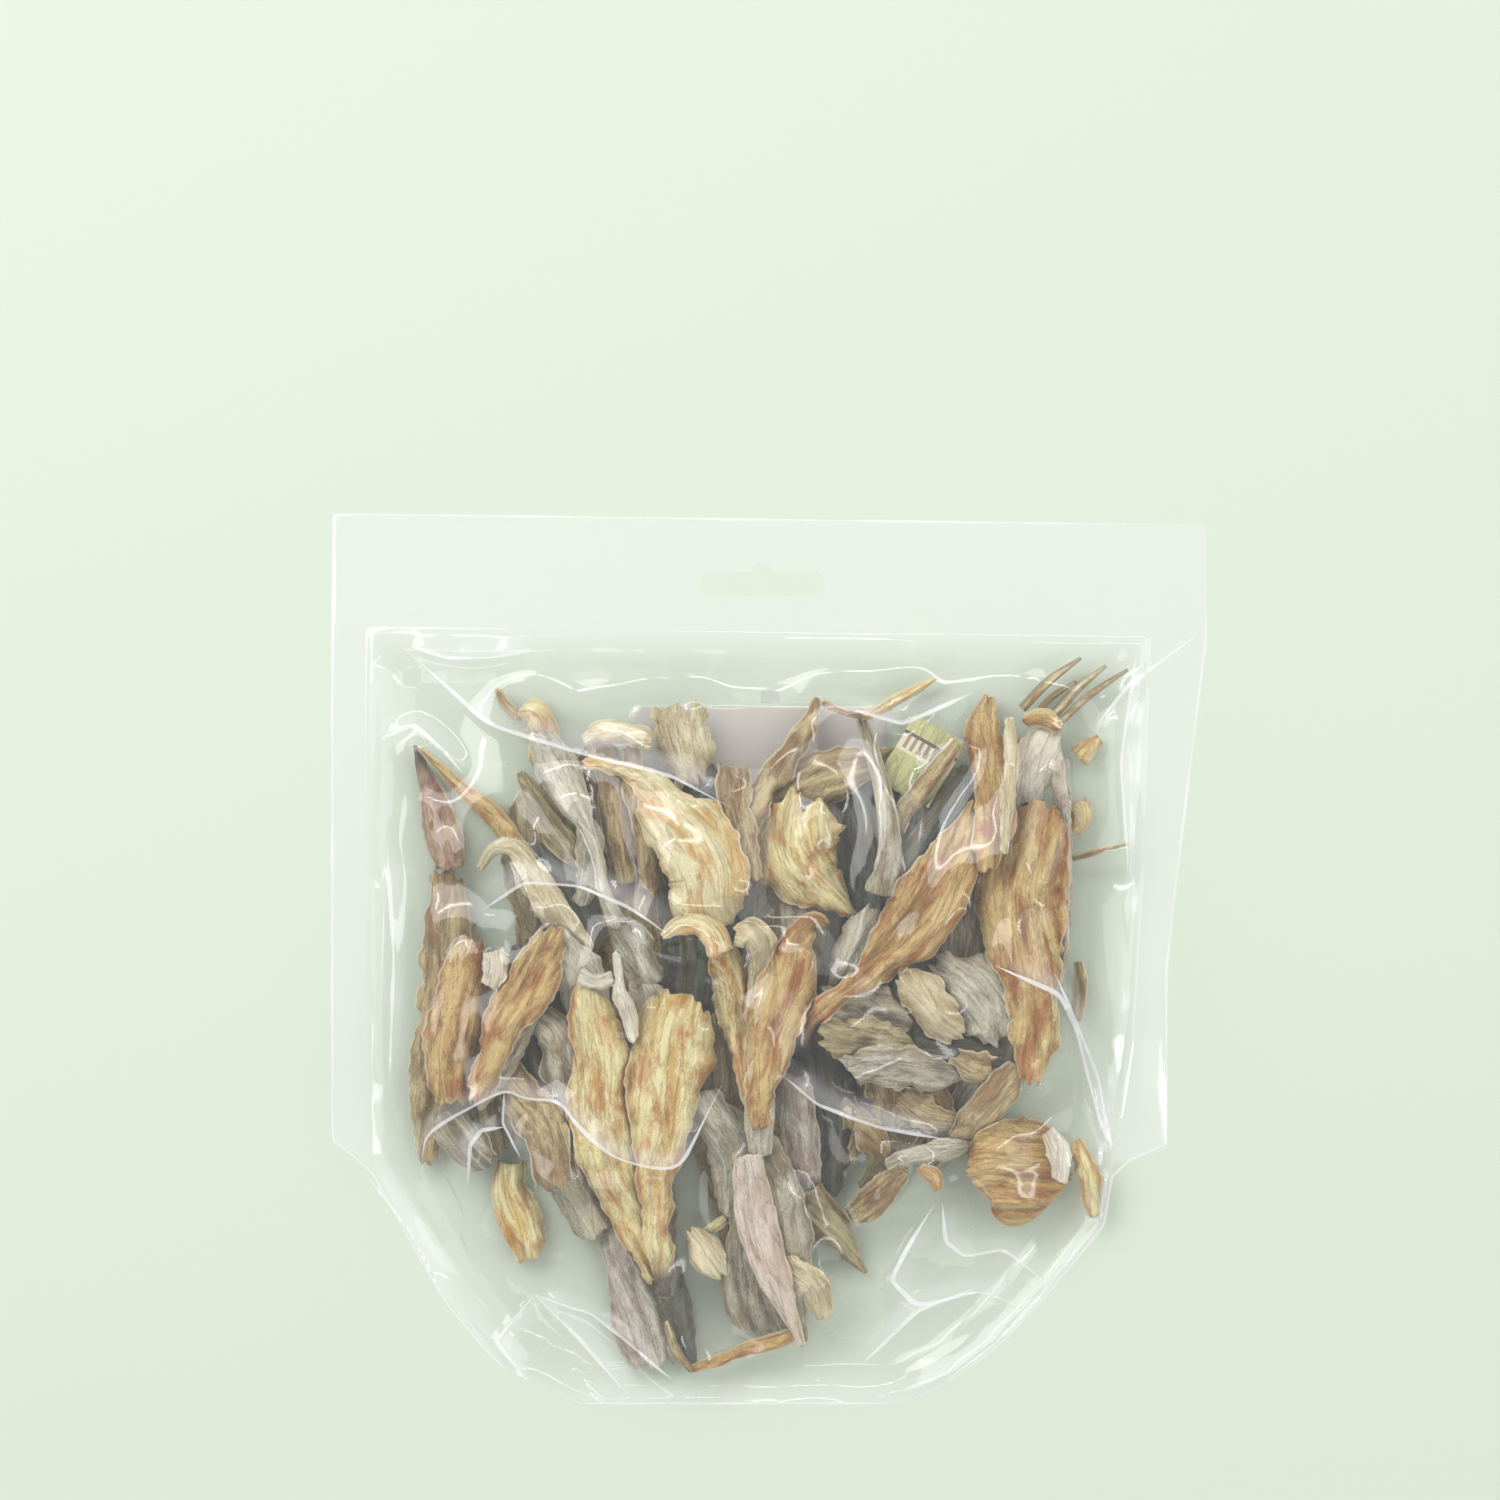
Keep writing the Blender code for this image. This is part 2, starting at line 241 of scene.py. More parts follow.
def sheet(
    group, look, points, arch=3.0, folds=1.2, fibre=0.4, ragged=1.3, thick=0.9,
    roll=1.6, tail=0.0, crumple=0.5, dome=3.4,
):
    """Lays one strip of dried fish on the heap.

    arch domes it across and dome says how flat on top, folds and fibre are its relief,
    ragged and roll shape its rims, tail is the share of its length that is dark tail, and
    crumple dents it both ways.
    """
    seed = 7 * len(sheets) + 11
    rows, length = along_points(points, PITCH_ALONG)
    wide = np.maximum(rows[:, 2:3] * RIM_REACH, 0.35)
    across = int(2.0 * wide.max() / PITCH_ACROSS) + 7
    a = np.linspace(-1.0, 1.0, across)[None, :]
    s = np.linspace(0.0, length, len(rows))[:, None]
    heading = np.gradient(rows[:, :2], axis=0)
    heading /= np.linalg.norm(heading, axis=1)[:, None]
    side = np.column_stack([-heading[:, 1], heading[:, 0]])
    which = np.where(a < 0, 0.5, 9.5)
    narrow = np.minimum(1.0, wide / 3.5)
    rim = soft_noise(s / 5.5, which, seed) + 0.5 * soft_noise(s / 1.6, which + 3, seed)
    reach = np.maximum(wide + ragged * rim * narrow, 0.3)
    offset = a * reach + soft_noise(s / 14.0, which * 0 + 2.5, seed + 3) * np.minimum(wide * 0.1, 0.9)
    tear = 1.4 * ragged * narrow * soft_noise(a * wide.max() / 2.1, s * 0 + 4.5, seed + 8)
    tear = tear - 0.3 * wide * a**2 * min(ragged, 1.0)
    slide = tear * (np.exp(-((length - s) / 3.5)) - np.exp(-s / 3.5))
    x = rows[:, :1] + side[:, :1] * offset + heading[:, :1] * slide
    y = rows[:, 1:2] + side[:, 1:2] * offset + heading[:, 1:2] * slide
    share = wide / wide.max()
    body = 1.0 - np.abs(a) ** 6
    drift = offset + 2.5 * soft_noise(s / 17.0, a, seed + 9)
    seam = 0.4 * ridges(drift / 5.2 + 20, s / 45.0, seed + 1)
    seam = seam + 0.8 * soft_noise(drift / 4.0, s / 16.0, seed + 12)
    grain = 0.5 * ridges(drift / 2.1 + 30, s / 16.0, seed + 2)
    grain = grain + 0.6 * soft_noise(drift / 1.2, s / 6.0, seed + 13)
    z = arch * share**0.7 * (1.0 - np.abs(a) ** dome)
    z = z + folds * seam * body * np.minimum(1, share * 1.5)
    z = z + fibre * grain * body * np.minimum(1, 0.3 + wide / 3)
    lip = roll * (0.35 + 1.3 * soft_noise(s / 12.0, which + 1, seed + 10))
    z = z - lip * np.clip((np.abs(a) - 0.72) / 0.28, 0, 1) ** 2 * share
    z = z + crumple * (soft_noise(x / 8.0, y / 8.0, seed + 4) + 0.35 * soft_noise(x / 3.5, y / 3.5, seed + 5))
    z = rest_on_heap(x, y, z - thick) + thick
    add_to_heap(x, y, z)
    layers = {
        "grain": 0.5 + 0.3 * grain + 0.2 * seam,
        "rim": np.clip((np.abs(a) * wide - wide + 1.3) / 1.3, 0, 1),
        "tail": np.clip((s / length - 1.0 + tail) / max(tail, 0.05) * 1.6, 0, 1) + 0.0 * a,
    }
    sheets.append({
        "group": group, "look": look, "place": np.stack([x, y, z], -1), "thick": thick,
        "flow": np.stack([offset + 0 * s + 31 * len(sheets), s + 0 * a], -1), "layers": layers,
    })


# %% [markdown]
# ## Skins at the bottom of the heap
# The lowest sheets are seen only through the gaps between the others, so their outlines
# are a guess. They keep the gaps from showing the ground. The dark ones are partly dark skin
# and partly painted shade for the gaps that lie in shade.

# %% Bottom skins
BOTTOM_SKINS = [
    ("olive_skin", [(-62, 44, 3), (-60, 30, 7), (-56, 8, 8), (-55, -10, 6)]),
    ("drab_flesh", [(-45, 54, 4), (-40, 35, 8), (-38, 12, 8), (-34, -8, 6)]),
    ("dark_skin_and_gap_shade", [(-20, 50, 5), (-18, 34, 9), (-16, 10, 9), (-18, -12, 7)]),
    ("grey_skin", [(2, 46, 5), (4, 36, 8), (6, 12, 8), (4, -12, 7)]),
    ("dark_skin_and_gap_shade", [(24, 50, 4), (26, 34, 8), (28, 12, 8), (24, -14, 6)]),
    ("grey_skin", [(46, 50, 4), (47, 30, 8), (48, 8, 8), (46, -14, 7)]),
    ("brown_flesh", [(62, 56, 4), (64, 30, 8), (65, 5, 8), (62, -18, 6)]),
    ("olive_skin", [(-80, 10, 4), (-78, -10, 7), (-74, -32, 7), (-70, -50, 5)]),
    ("dark_skin_and_gap_shade", [(-62, 4, 5), (-60, -18, 7), (-54, -38, 7), (-50, -52, 4)]),
    ("grey_skin", [(-40, -12, 6), (-36, -34, 8), (-32, -58, 6), (-28, -80, 4)]),
    ("olive_skin", [(-14, -14, 6), (-12, -36, 8), (-8, -60, 7), (-4, -88, 5)]),
    ("dark_skin_and_gap_shade", [(10, -10, 6), (14, -30, 7), (16, -46, 6), (14, -62, 3)]),
    ("olive_skin", [(34, -10, 6), (40, -28, 8), (34, -46, 6), (26, -60, 4)]),
    ("grey_skin", [(66, -14, 5), (58, -28, 7), (50, -42, 5), (42, -54, 3)]),
    ("dark_skin_and_gap_shade", [(-58, 30, 3), (-54, 18, 6), (-50, 4, 6), (-48, -8, 3)]),
    ("dark_skin_and_gap_shade", [(36, 34, 3), (40, 20, 5), (40, 8, 4)]),
]
for look, points in BOTTOM_SKINS:
    sheet("bottom_skins", look, points, arch=6.5, folds=1.6, crumple=1.2)

# %% [markdown]
# ## The upper left corner
# A rose leaf and a thin stick meet at the corner. Beside them a knobbed strip turns into
# a long pale skin, with drab strips between it and the large fillet.

# %% Upper left
sheet("olive_leaf", "olive_skin", [(-64, 47.5, 1), (-60.5, 42, 2.3), (-55, 34, 3), (-50, 27.5, 2.6),
      (-46, 23.5, 1.3)])
sheet("drab_strips", "drab_flesh", [(-43.5, 57.5, 2.6), (-40.5, 45.5, 3.6), (-39, 33, 3.6), (-37, 20, 3)],
      arch=4)
sheet("drab_strips", "drab_flesh", [(-35.5, 54.5, 2), (-33.5, 43, 3), (-31, 30, 3), (-29.5, 17.5, 2.6)],
      arch=4)
sheet("drab_strips", "grey_skin", [(-48, 38, 1.5), (-45.5, 30, 3), (-46, 22, 3), (-48, 14, 2)], arch=3)
sheet("left_blade", "drab_flesh", [(-82.5, 22, 4), (-82.5, 12, 5), (-83, -1, 5.5), (-84.5, -13.5, 5),
      (-86.5, -26.5, 5), (-87, -39.5, 4.5), (-87.5, -52.5, 2)], arch=5, folds=2)
sheet("left_blade", "rose_flesh", [(-82, 23, 3), (-83, 29, 4.4), (-85, 35.5, 3.9), (-87, 43, 2.6),
      (-89.5, 49.5, 1.3), (-91, 54.5, 0.4)], arch=4, folds=0.8, tail=0.35, ragged=0.6)
sheet("orange_stick", "orange_flesh", [(-90, 54, 0.5), (-85, 49.5, 1), (-78.5, 43, 1.8), (-70.5, 36.5, 2.3),
      (-65.5, 30, 2.3), (-60.5, 24.5, 2)], arch=3, folds=0.4, ragged=0.5)
sheet("orange_stick", "drab_flesh", [(-64, 27, 2), (-59, 19, 3), (-54, 12, 3.5)], arch=3)
sheet("golden_knob", "drab_flesh", [(-70, 69, 0.8), (-67.5, 65, 1.3), (-64, 61.5, 1.6)], arch=2, folds=0.4)
sheet("golden_knob", "golden_flesh", [(-64, 62.5, 1.6), (-60.5, 62.5, 3.6), (-58, 58.5, 4),
      (-59, 53.5, 2.6), (-60.5, 49.5, 1)], arch=5)
sheet("pale_skin_strip", "pale_skin", [(-38.5, 8.5, 3), (-33.5, 0.5, 4.6), (-29.5, -7, 3.6)], arch=3)
sheet("pale_skin_strip", "pale_skin", [(-58, 57.5, 3), (-54, 49.5, 4.6), (-50, 40.5, 3.6), (-46, 33, 1.8),
      (-43.5, 25, 1.3), (-42, 17.5, 1.5), (-38.5, 8.5, 2.3)], arch=4, folds=1.0, ragged=0.7)
sheet("pale_arch", "cream_flesh", [(-74, 23, 0.9), (-70, 28, 1.4), (-65, 28.5, 1.9), (-61, 24, 2.4),
      (-57, 16, 3.2), (-51, 8, 3.4), (-46, 2, 2)], arch=3, folds=0.6, ragged=0.8)
sheet("grey_shelf", "pale_skin", [(-55, 7, 2), (-50, 0, 4.5), (-47, -8, 5), (-49, -18, 3)], arch=3,
      folds=1.2)
sheet("grey_shelf", "grey_skin", [(-60, -14, 3), (-54, -20, 5), (-51, -32, 5), (-50, -44, 3)], arch=4,
      folds=1.2)

# %% [markdown]
# ## Across the top
# Broken blocks of flesh lie under the header, and between them a forked stem, a printed
# paper slip and a bunch of thin spines.

# %% Along the top
sheet("ragged_block", "cream_flesh", [(-23, 65.5, 5.7), (-22.5, 58.5, 6.2), (-20.5, 51, 5.7),
      (-18, 44.5, 3.6)], arch=3, folds=2, ragged=2.2, crumple=1)
sheet("ragged_block", "cream_flesh", [(-47.5, 55.5, 1.3), (-42.5, 58, 2.3), (-36, 57.5, 2.6),
      (-29.5, 54.5, 2.6)], arch=3)
sheet("flaky_block", "drab_flesh", [(32.5, 53, 2), (26, 49.5, 3.6), (17, 47.5, 5.7), (8, 43, 7.2),
      (-1, 35.5, 6.7), (-6, 27.5, 4)], arch=4, folds=1.8, ragged=1.6)
sheet("flaky_block", "golden_flesh", [(7, 41, 7.5), (6, 35, 9.5), (7, 27, 9), (12, 20, 6.5), (19, 13, 3),
      (23.5, 10, 1)], arch=4, folds=1.8, ragged=2.8, crumple=1.4)
sheet("middle_strip", "drab_flesh", [(12.5, 67, 0.8), (10, 60.5, 1.8), (5.5, 53, 2.6), (-0.5, 44.5, 3),
      (-5, 35.5, 3), (-6, 27.5, 2)], arch=4)
sheet("white_skin", "pale_skin", [(27, 13.5, 3), (24, 5, 5), (20, -3, 5), (16.5, -8, 2.5)], arch=3,
      crumple=0.8)
# this leaf lies where a gap is in shade: partly dark skin, partly painted shade
sheet("dark_leaf", "dark_skin_and_gap_shade", [(49.5, 47, 2), (45.5, 38, 4), (40, 30, 4), (35, 22.5, 3)], arch=3)
sheet("paper_slip", "slip_paper", [(34.0, 42, 6.5), (38.5, 50, 6.5), (43.6, 59, 6.5)], arch=0.8, folds=0.2,
      fibre=0.0, ragged=0.1, roll=0.2, thick=0.25, crumple=0.3, dome=2.0)
sheet("dark_leaf", "drab_flesh", [(48, 55.5, 1.5), (41.5, 47, 2.3), (35, 39, 2.2), (32, 32, 1.8)], arch=3,
      ragged=0.7)
sheet("forked_stem", "grey_skin", [(23.5, 61.5, 1.2), (27, 51, 1.8), (29, 43, 2), (30.5, 33, 2.4),
      (30, 23.5, 3.2), (29, 16.5, 4)], arch=4, folds=0.8, ragged=0.6)
sheet("forked_stem", "golden_flesh", [(43, 72, 0.6), (37, 68.5, 1), (27.5, 63.5, 1.3), (23.5, 62, 1)],
      arch=2, folds=0.3)
sheet("forked_stem", "drab_flesh", [(13.5, 65.5, 0.8), (18.5, 63.5, 0.8), (23.5, 62, 1)], arch=2, folds=0.3)

# %% Right edge
SPINES = [  # start, end and half width
    ((65, 64), (80, 77), 1.0),
    ((68, 62), (79, 71), 0.7),
    ((73, 62), (86.5, 75), 1.0),
    ((74, 60), (92, 74), 0.8),
]
for start, end, wide in SPINES:
    halfway = ((start[0] + end[0]) / 2 - 0.6, (start[1] + end[1]) / 2 + 0.6)
    points = [(*start, wide), (*halfway, wide), (*end, 0.35)]
    sheet("spines", "pale_spine", points, arch=0.8, folds=0.1, fibre=0.1, ragged=0.1, roll=0.0, crumple=0.0)
sheet("frills", "golden_flesh", [(79, 51.5, 2), (82.5, 54.5, 2.6), (85, 56.5, 1.5)], arch=2)
sheet("frills", "golden_flesh", [(78, 40.5, 2), (80, 36.5, 2.6), (78, 31.5, 1.5)], arch=2)
sheet("frills", "drab_flesh", [(79.5, -1, 1), (80, -7, 1.6), (79, -16, 1.4)], arch=1.5)
sheet("thin_stick", "drab_flesh", [(75, 24.5, 0.8), (84, 27.5, 0.8), (92, 29.5, 0.4)], arch=1, folds=0.1,
      crumple=0.1)

# %% [markdown]
# ## Flakes and scraps in the lower right
# Small flakes fill the space between the large fillets, and a fillet curled into a round
# cup lies at the edge.

# %% Flakes


def flake(look, points, **changes):
    """A thin crisp flake: hardly domed, with torn rims that curl."""
    shape = dict(arch=1.6, folds=0.9, ragged=2.2, crumple=1.8, roll=2.6, thick=0.7, dome=2.4)
    shape.update(changes)
    sheet("flakes", look, points, **shape)


flake("dark_skin_and_gap_shade", [(36.5, -22, 3), (48, -24, 4.5), (59.5, -26.5, 3)])
flake("drab_flesh", [(30, -27, 3), (32, -36, 5), (30, -46, 3)])
flake("drab_flesh", [(40, -30, 3), (42, -38, 4.5), (44, -45, 3)])
flake("grey_skin", [(12, -11, 3), (22, -14, 6.5), (36, -17, 5)])
flake("pale_skin", [(42, -1, 3), (50, -6, 7), (57, -14, 7), (60, -20, 4)], crumple=2.6)
flake("olive_skin", [(13, -18, 3), (22, -20, 5.5), (33, -23, 5), (40, -25, 2)], crumple=2.2)
flake("cream_flesh", [(34, -3, 2), (38, -8, 4.5), (43, -15, 5.5), (48, -19, 2)], arch=2.5)
flake("grey_skin", [(20, -27, 2.5), (30, -27, 4), (40, -28, 4), (50, -30, 2)])
flake("drab_flesh", [(47, -24, 2), (52, -27, 3.5), (57, -28, 2)])
flake("drab_flesh", [(33, -35, 2), (40, -39, 3.6), (47, -41, 2)])
flake("olive_skin", [(20, -36, 2), (24, -42, 4), (22, -50, 2.5)])
sheet("drab_tail", "drab_flesh", [(63.5, -26.5, 2.6), (58.5, -33, 4), (52, -41, 4), (46.5, -46, 2)], arch=4,
      folds=1.6)
sheet("olive_curls", "drab_flesh", [(22, -39.5, 2), (26, -44.5, 3.6), (30, -50, 3)], arch=3, ragged=1.8,
      crumple=1.4)
sheet("olive_curls", "pale_skin", [(30, -52.5, 1.5), (37.5, -50, 2.3), (45.5, -48, 2.3), (50.5, -47, 1)],
      arch=3, crumple=1.2)
sheet("olive_curls", "drab_flesh", [(34, -52.5, 2), (30, -57.5, 3.6), (25, -62.5, 3.6), (20.5, -66.5, 2)],
      arch=4, crumple=1)
sheet("olive_curls", "golden_flesh", [(38, -52, 1.2), (42, -55, 2.2), (43, -59, 1.2)], arch=1.5, ragged=1.8)
sheet("round_curl", "golden_flesh", [(78, -46, 1.5), (81, -53.5, 2.6), (82.5, -61.5, 2),
      (83.5, -66.5, 1.3)], arch=3)
sheet("round_curl", "brown_flesh", [(50.5, -54, 4), (56, -53, 9.5), (64, -54, 12), (72, -55, 9.5),
      (77, -56, 4)], arch=7, folds=2.0, ragged=0.8, crumple=1.0)
sheet("round_curl", "chalk_skin", [(71, -43, 1.5), (74, -49, 2.6), (74, -57, 2)], arch=2)

# %% Scraps at the foot
sheet("foot_skins", "pale_skin", [(-18, -34.5, 4), (-9, -50, 5.5), (-7.5, -65.5, 4.5)], arch=4)
sheet("foot_skins", "violet_tail", [(5.5, -29, 4), (6.5, -44.5, 5.5), (8, -60, 4.5)], arch=4, folds=2)
sheet("foot_skins", "grey_skin", [(-5, -62.5, 5), (-3, -84, 8), (1, -96, 5.5)], arch=3, crumple=1)
sheet("foot_skins", "olive_skin", [(8, -60, 6), (18.5, -73, 3), (25, -81, 0.5)], arch=4, folds=1.6)
sheet("foot_skins", "violet_tail", [(-40, -68, 3), (-37, -80, 4.5), (-32, -93, 6.8), (-28.5, -105, 6)],
      arch=2.5, folds=1.2)
sheet("left_foot_skins", "grey_skin", [(-54, -42, 5), (-49, -57.5, 6), (-43.5, -70.5, 5)], arch=4,
      crumple=1)
sheet("left_foot_skins", "grey_skin", [(-84, -40, 4), (-77, -48, 5), (-72, -53, 3.5)], arch=2.5, crumple=1)
sheet("left_foot_skins", "drab_flesh", [(-69.5, -26.5, 4), (-58, -42, 5), (-54, -57.5, 4)], arch=3.5,
      crumple=1)
sheet("golden_scrap", "golden_flesh", [(-66.5, -52.5, 2.6), (-66.5, -60, 3.9), (-63.5, -69, 4.6),
      (-61.5, -77.5, 2.3)], arch=4)

# %% [markdown]
# ## The large fillets on top
# The butterflied fillets lie uppermost. Each opened fillet has two lobes of golden flesh
# that meet along its backbone line and run out into a dark tail.

# %% Large fillets
sheet("left_fork", "grey_skin", [(-58, -7, 1.3), (-63, -19, 2), (-68, -28, 2.3), (-74.5, -37, 2)], arch=4,
      folds=0.6)
sheet("left_fork", "brown_flesh", [(-75, 5.5, 2.6), (-77, -2, 5), (-79.5, -13.5, 5.7), (-81, -23, 5.5),
      (-81, -37, 3.5)], arch=6, folds=1.5)
sheet("left_fork", "brown_flesh", [(-54, 8, 4), (-58, 0.5, 5), (-63, -8.5, 5.7), (-67.5, -16, 5),
      (-70, -24, 4), (-74.5, -34.5, 3)], arch=6, folds=1.5)
sheet("left_fork", "chalk_skin", [(-70, 3, 2), (-69.5, -2, 3), (-71.5, -7, 2)], arch=2, thick=0.7)
sheet("slanting_strip", "brown_flesh", [(51.5, 40.5, 1), (48, 30, 4.5), (43, 20, 7.5), (37.5, 11, 8),
      (31, 3, 6), (23.5, -4.5, 3), (14.5, -11, 2.5), (6.5, -21.5, 1.5), (3.5, -26.5, 0.5)], arch=5,
      folds=1.8, tail=0.2)
sheet("upper_curl", "drab_flesh", [(-9, 49.5, 3), (-9, 40.5, 3.6), (-7, 30, 3.6), (-5, 20, 3)], arch=5,
      folds=1)
sheet("upper_curl", "golden_cream", [(-47.5, 50, 1), (-42.5, 50, 1.5), (-36, 47.5, 2.3), (-29.5, 43.5, 4.6),
      (-25.5, 37.5, 7), (-19.5, 31, 9), (-15.5, 22.5, 9.6), (-15, 14.5, 8.6), (-13, 8, 6)], arch=7,
      folds=1.6, ragged=1.6)
sheet("right_strip", "chalk_skin", [(74, 59, 1.5), (71, 54.5, 5), (67.5, 47, 5), (65.5, 39, 3)], arch=7.5,
      crumple=0.8, folds=0.6, dome=8.0, roll=0.4)
sheet("right_strip", "brown_flesh", [(65, 60.5, 1.3), (70, 61.5, 2), (74.5, 59, 1.8)], arch=2)
sheet("right_strip", "violet_tail", [(74, 51, 1.5), (75, 35.5, 2), (75.5, 20, 2), (75.5, 4.5, 1.8),
      (74.5, -7, 1)], arch=4)
sheet("right_strip", "orange_flesh", [(68.5, 40.5, 5.5), (66, 27.5, 8.2), (64, 17.5, 9.8), (65, 7, 8.6),
      (67, -6, 6.8), (67.5, -19, 5), (65.5, -31, 3)], arch=7, folds=1.6, ragged=1.6)
sheet("right_strip", "brown_flesh", [(56.5, 67.5, 1.3), (55.5, 58.5, 4), (57, 45.5, 4.6), (57, 33, 4.4),
      (55.5, 22.5, 2.6)], arch=4, folds=1.2)
sheet("right_strip", "cream_flesh", [(61.5, 61.5, 1.3), (61.5, 53.5, 1.5), (60.5, 40.5, 1.3),
      (59, 27.5, 1)], arch=2, folds=0.4)
sheet("hooked_fork", "grey_skin", [(-2, -44, 2.6), (0.5, -54, 4.6), (4, -70, 5.6), (6, -86, 3.6),
      (9, -98.5, 1)], arch=4, folds=0.7)
sheet("hooked_fork", "pale_skin", [(-0.5, -27, 2.6), (-2.5, -37, 3.4), (-2.5, -49, 2.4)], arch=3, folds=0.5,
      ragged=0.5)
sheet("hooked_fork", "golden_flesh", [(-13, 4.5, 3), (-10, -4.5, 4), (-8, -16, 4), (-6, -26.5, 3),
      (-3.5, -37, 2)], arch=5)
sheet("hooked_fork", "golden_cream", [(-27, 6.5, 0.8), (-23.5, 9, 2), (-18.5, 9.5, 2.6), (-14, 6.5, 3),
      (-12, 2, 3)], arch=4, folds=0.8, ragged=0.6)
sheet("hooked_fork", "cream_flesh", [(-9, 7.5, 2), (-4.5, 7, 3.6), (-2, 2, 3.6), (-2.5, -7, 2.6),
      (-4.5, -16, 1.5)], arch=3)
sheet("hooked_fork", "brown_flesh", [(14.5, 8.5, 1), (11, 10, 2), (7, 5.5, 3.6), (5.5, -2, 5.7),
      (2.5, -12.5, 6.7), (-1, -22.5, 5), (-2.5, -33, 3.6), (-2, -42, 2.6)], arch=6, folds=1.5)
sheet("golden_fork", "pale_skin", [(-32, -7, 4.6), (-30.5, -13.5, 4.6), (-33.5, -20, 2)], arch=2)
sheet("golden_fork", "dark_skin_and_gap_shade", [(-26, -78, 3), (-24.5, -89, 3.4), (-21.5, -99, 2.6), (-19, -106, 1)],
      arch=3)
sheet("golden_fork", "golden_flesh", [(-46, -5, 2), (-46, -11, 4.4), (-43, -24, 6.4), (-42.5, -34.5, 7),
      (-41.5, -42, 7.6), (-39.5, -51, 7.2), (-37, -60, 6.2), (-34, -69, 4.4), (-28, -81, 2.6)], arch=6,
      folds=1.5)
sheet("golden_fork", "golden_flesh", [(-21.5, -8.5, 5), (-24, -16, 8.2), (-25, -24, 9), (-26.5, -34.5, 8),
      (-27, -42, 6.6), (-28, -51, 5), (-28.5, -60, 3.8), (-28, -73, 3), (-26, -84, 2.4)], arch=6, folds=1.6,
      tail=0.12)
sheet("golden_fork", "chalk_skin", [(-48.5, -3.5, 1.5), (-44, -5.5, 1.8), (-39, -4, 1.5)], arch=2)
sheet("golden_fork", "chalk_skin", [(-38.5, 2.5, 1), (-38, -4.5, 1.3), (-36.5, -11, 2), (-34.5, -20, 1.5)],
      arch=2)
sheet("foot_hook", "brown_flesh", [(-20.5, -105, 0.8), (-14, -103, 1.5), (-6, -100, 1.8), (2, -98, 2),
      (7, -96, 1.2)], arch=2, folds=0.5)
sheet("yellow_stick", "golden_flesh", [(-21, -73.5, 1), (-16.5, -70, 1.2), (-11, -66, 1)], arch=1.5,
      folds=0.1)
sheet("foot_tail", "cream_flesh", [(-20, -69, 2), (-16, -75, 4.2), (-12, -80, 2)], arch=2, crumple=1)
sheet("foot_tail", "cream_flesh", [(4, -76, 2.5), (11, -83, 4), (14, -92, 1.5)], arch=2, crumple=1)
sheet("foot_tail", "pale_spine", [(-26, -92, 0.6), (-24, -99, 1), (-20, -105, 0.7)], arch=1, folds=0.2,
      crumple=0.1)
sheet("foot_tail", "pink_tail", [(-5.5, -48, 3), (-4, -62, 4.4), (0, -77, 4), (5, -90, 2), (8.5, -99, 0.8)],
      arch=3, ragged=0.5)
print(len(sheets), "sheets, the heap is", round(float(heap.max()), 1), "mm high before it settles")

# %% [markdown]
# ## Settling the heap under the film
# The sheets were laid one on another, so the heap may stand too high or too low in places.
# The solid bag says how high the film is drawn, so each height is scaled by a smooth
# factor. Scaling heights alone keeps the order of the sheets at each place.

# %% Scale the heights to the bag
FILM_ROOM = 0.8
PILE_COUNTS = 3.0  # only where the heap is higher than this is it measured
SETTLE_SPREAD = 6.0  # cells over which the factor is evened out
floor_level = bag_foot + 1.0
room = np.maximum(bag_top - FILM_ROOM - floor_level, 0.5)
piled = np.maximum(heap - floor_level, 0.5)
squeeze = np.where(piled > PILE_COUNTS, room / piled, np.nan)
lowest = -widest(np.where(np.isnan(squeeze), -9.0, -squeeze), 3)
lowest = np.where(lowest > 8.0, 0.0, lowest)
weight = (lowest > 0.0).astype(float)
settle = blur(lowest * weight, SETTLE_SPREAD) / np.maximum(blur(weight, SETTLE_SPREAD), 1e-3)
settle = np.clip(settle, 0.35, 1.7)
for piece in sheets:
    x, y, z = np.moveaxis(piece["place"], -1, 0)
    low = look_up(floor_level, x, y)
    piece["place"][..., 2] = low + (z - low) * look_up(settle, x, y)
heap = floor_level + (heap - floor_level) * settle
measured = settle[piled > PILE_COUNTS]
print("the heap's heights are scaled by", measured.min(), "to", measured.max())

# %% [markdown]
# ## Turning the numbers into meshes
# Each sheet starts as a grid from the mesh operator. Its vertices take their places from
# the numbers above, an extrusion gives it its thickness, and the grain, the rim and the tail
# become attributes that the materials read.

# %% Sheets to meshes


def make_sheet(piece):
    place, flow = piece["place"], piece["flow"]
    count_along, count_across = place.shape[:2]
    bm = bmesh.new()
    bmesh.ops.create_grid(bm, x_segments=count_across - 1, y_segments=count_along - 1, size=1.0)
    col = [round((vert.co.x + 1) / 2 * (count_across - 1)) for vert in bm.verts]
    row = [round((vert.co.y + 1) / 2 * (count_along - 1)) for vert in bm.verts]
    names = list(piece["layers"])
    layers = [bm.verts.layers.float.new(name) for name in names]
    uv = bm.loops.layers.uv.new("flow")
    for vert, i, j in zip(bm.verts, row, col):
        vert.co = place[i, j] * MM
        vert.co.z -= piece["thick"] * MM
        for name, layer in zip(names, layers):
            vert[layer] = piece["layers"][name][i, j]
    bm.verts.index_update()
    for face in bm.faces:
        for loop in face.loops:
            k = loop.vert.index
            loop[uv].uv = flow[row[k], col[k]] * 0.01
    copied = bmesh.ops.extrude_face_region(bm, geom=bm.faces[:])["geom"]
    upper = [part for part in copied if isinstance(part, bmesh.types.BMVert)]
    bmesh.ops.translate(bm, vec=(0.0, 0.0, piece["thick"] * MM), verts=upper)
    bmesh.ops.recalc_face_normals(bm, faces=bm.faces)
    item = new_object(piece["group"], bm)
    item.data.shade_smooth()
    item.data.materials.append(LOOKS[piece["look"]])
    return item
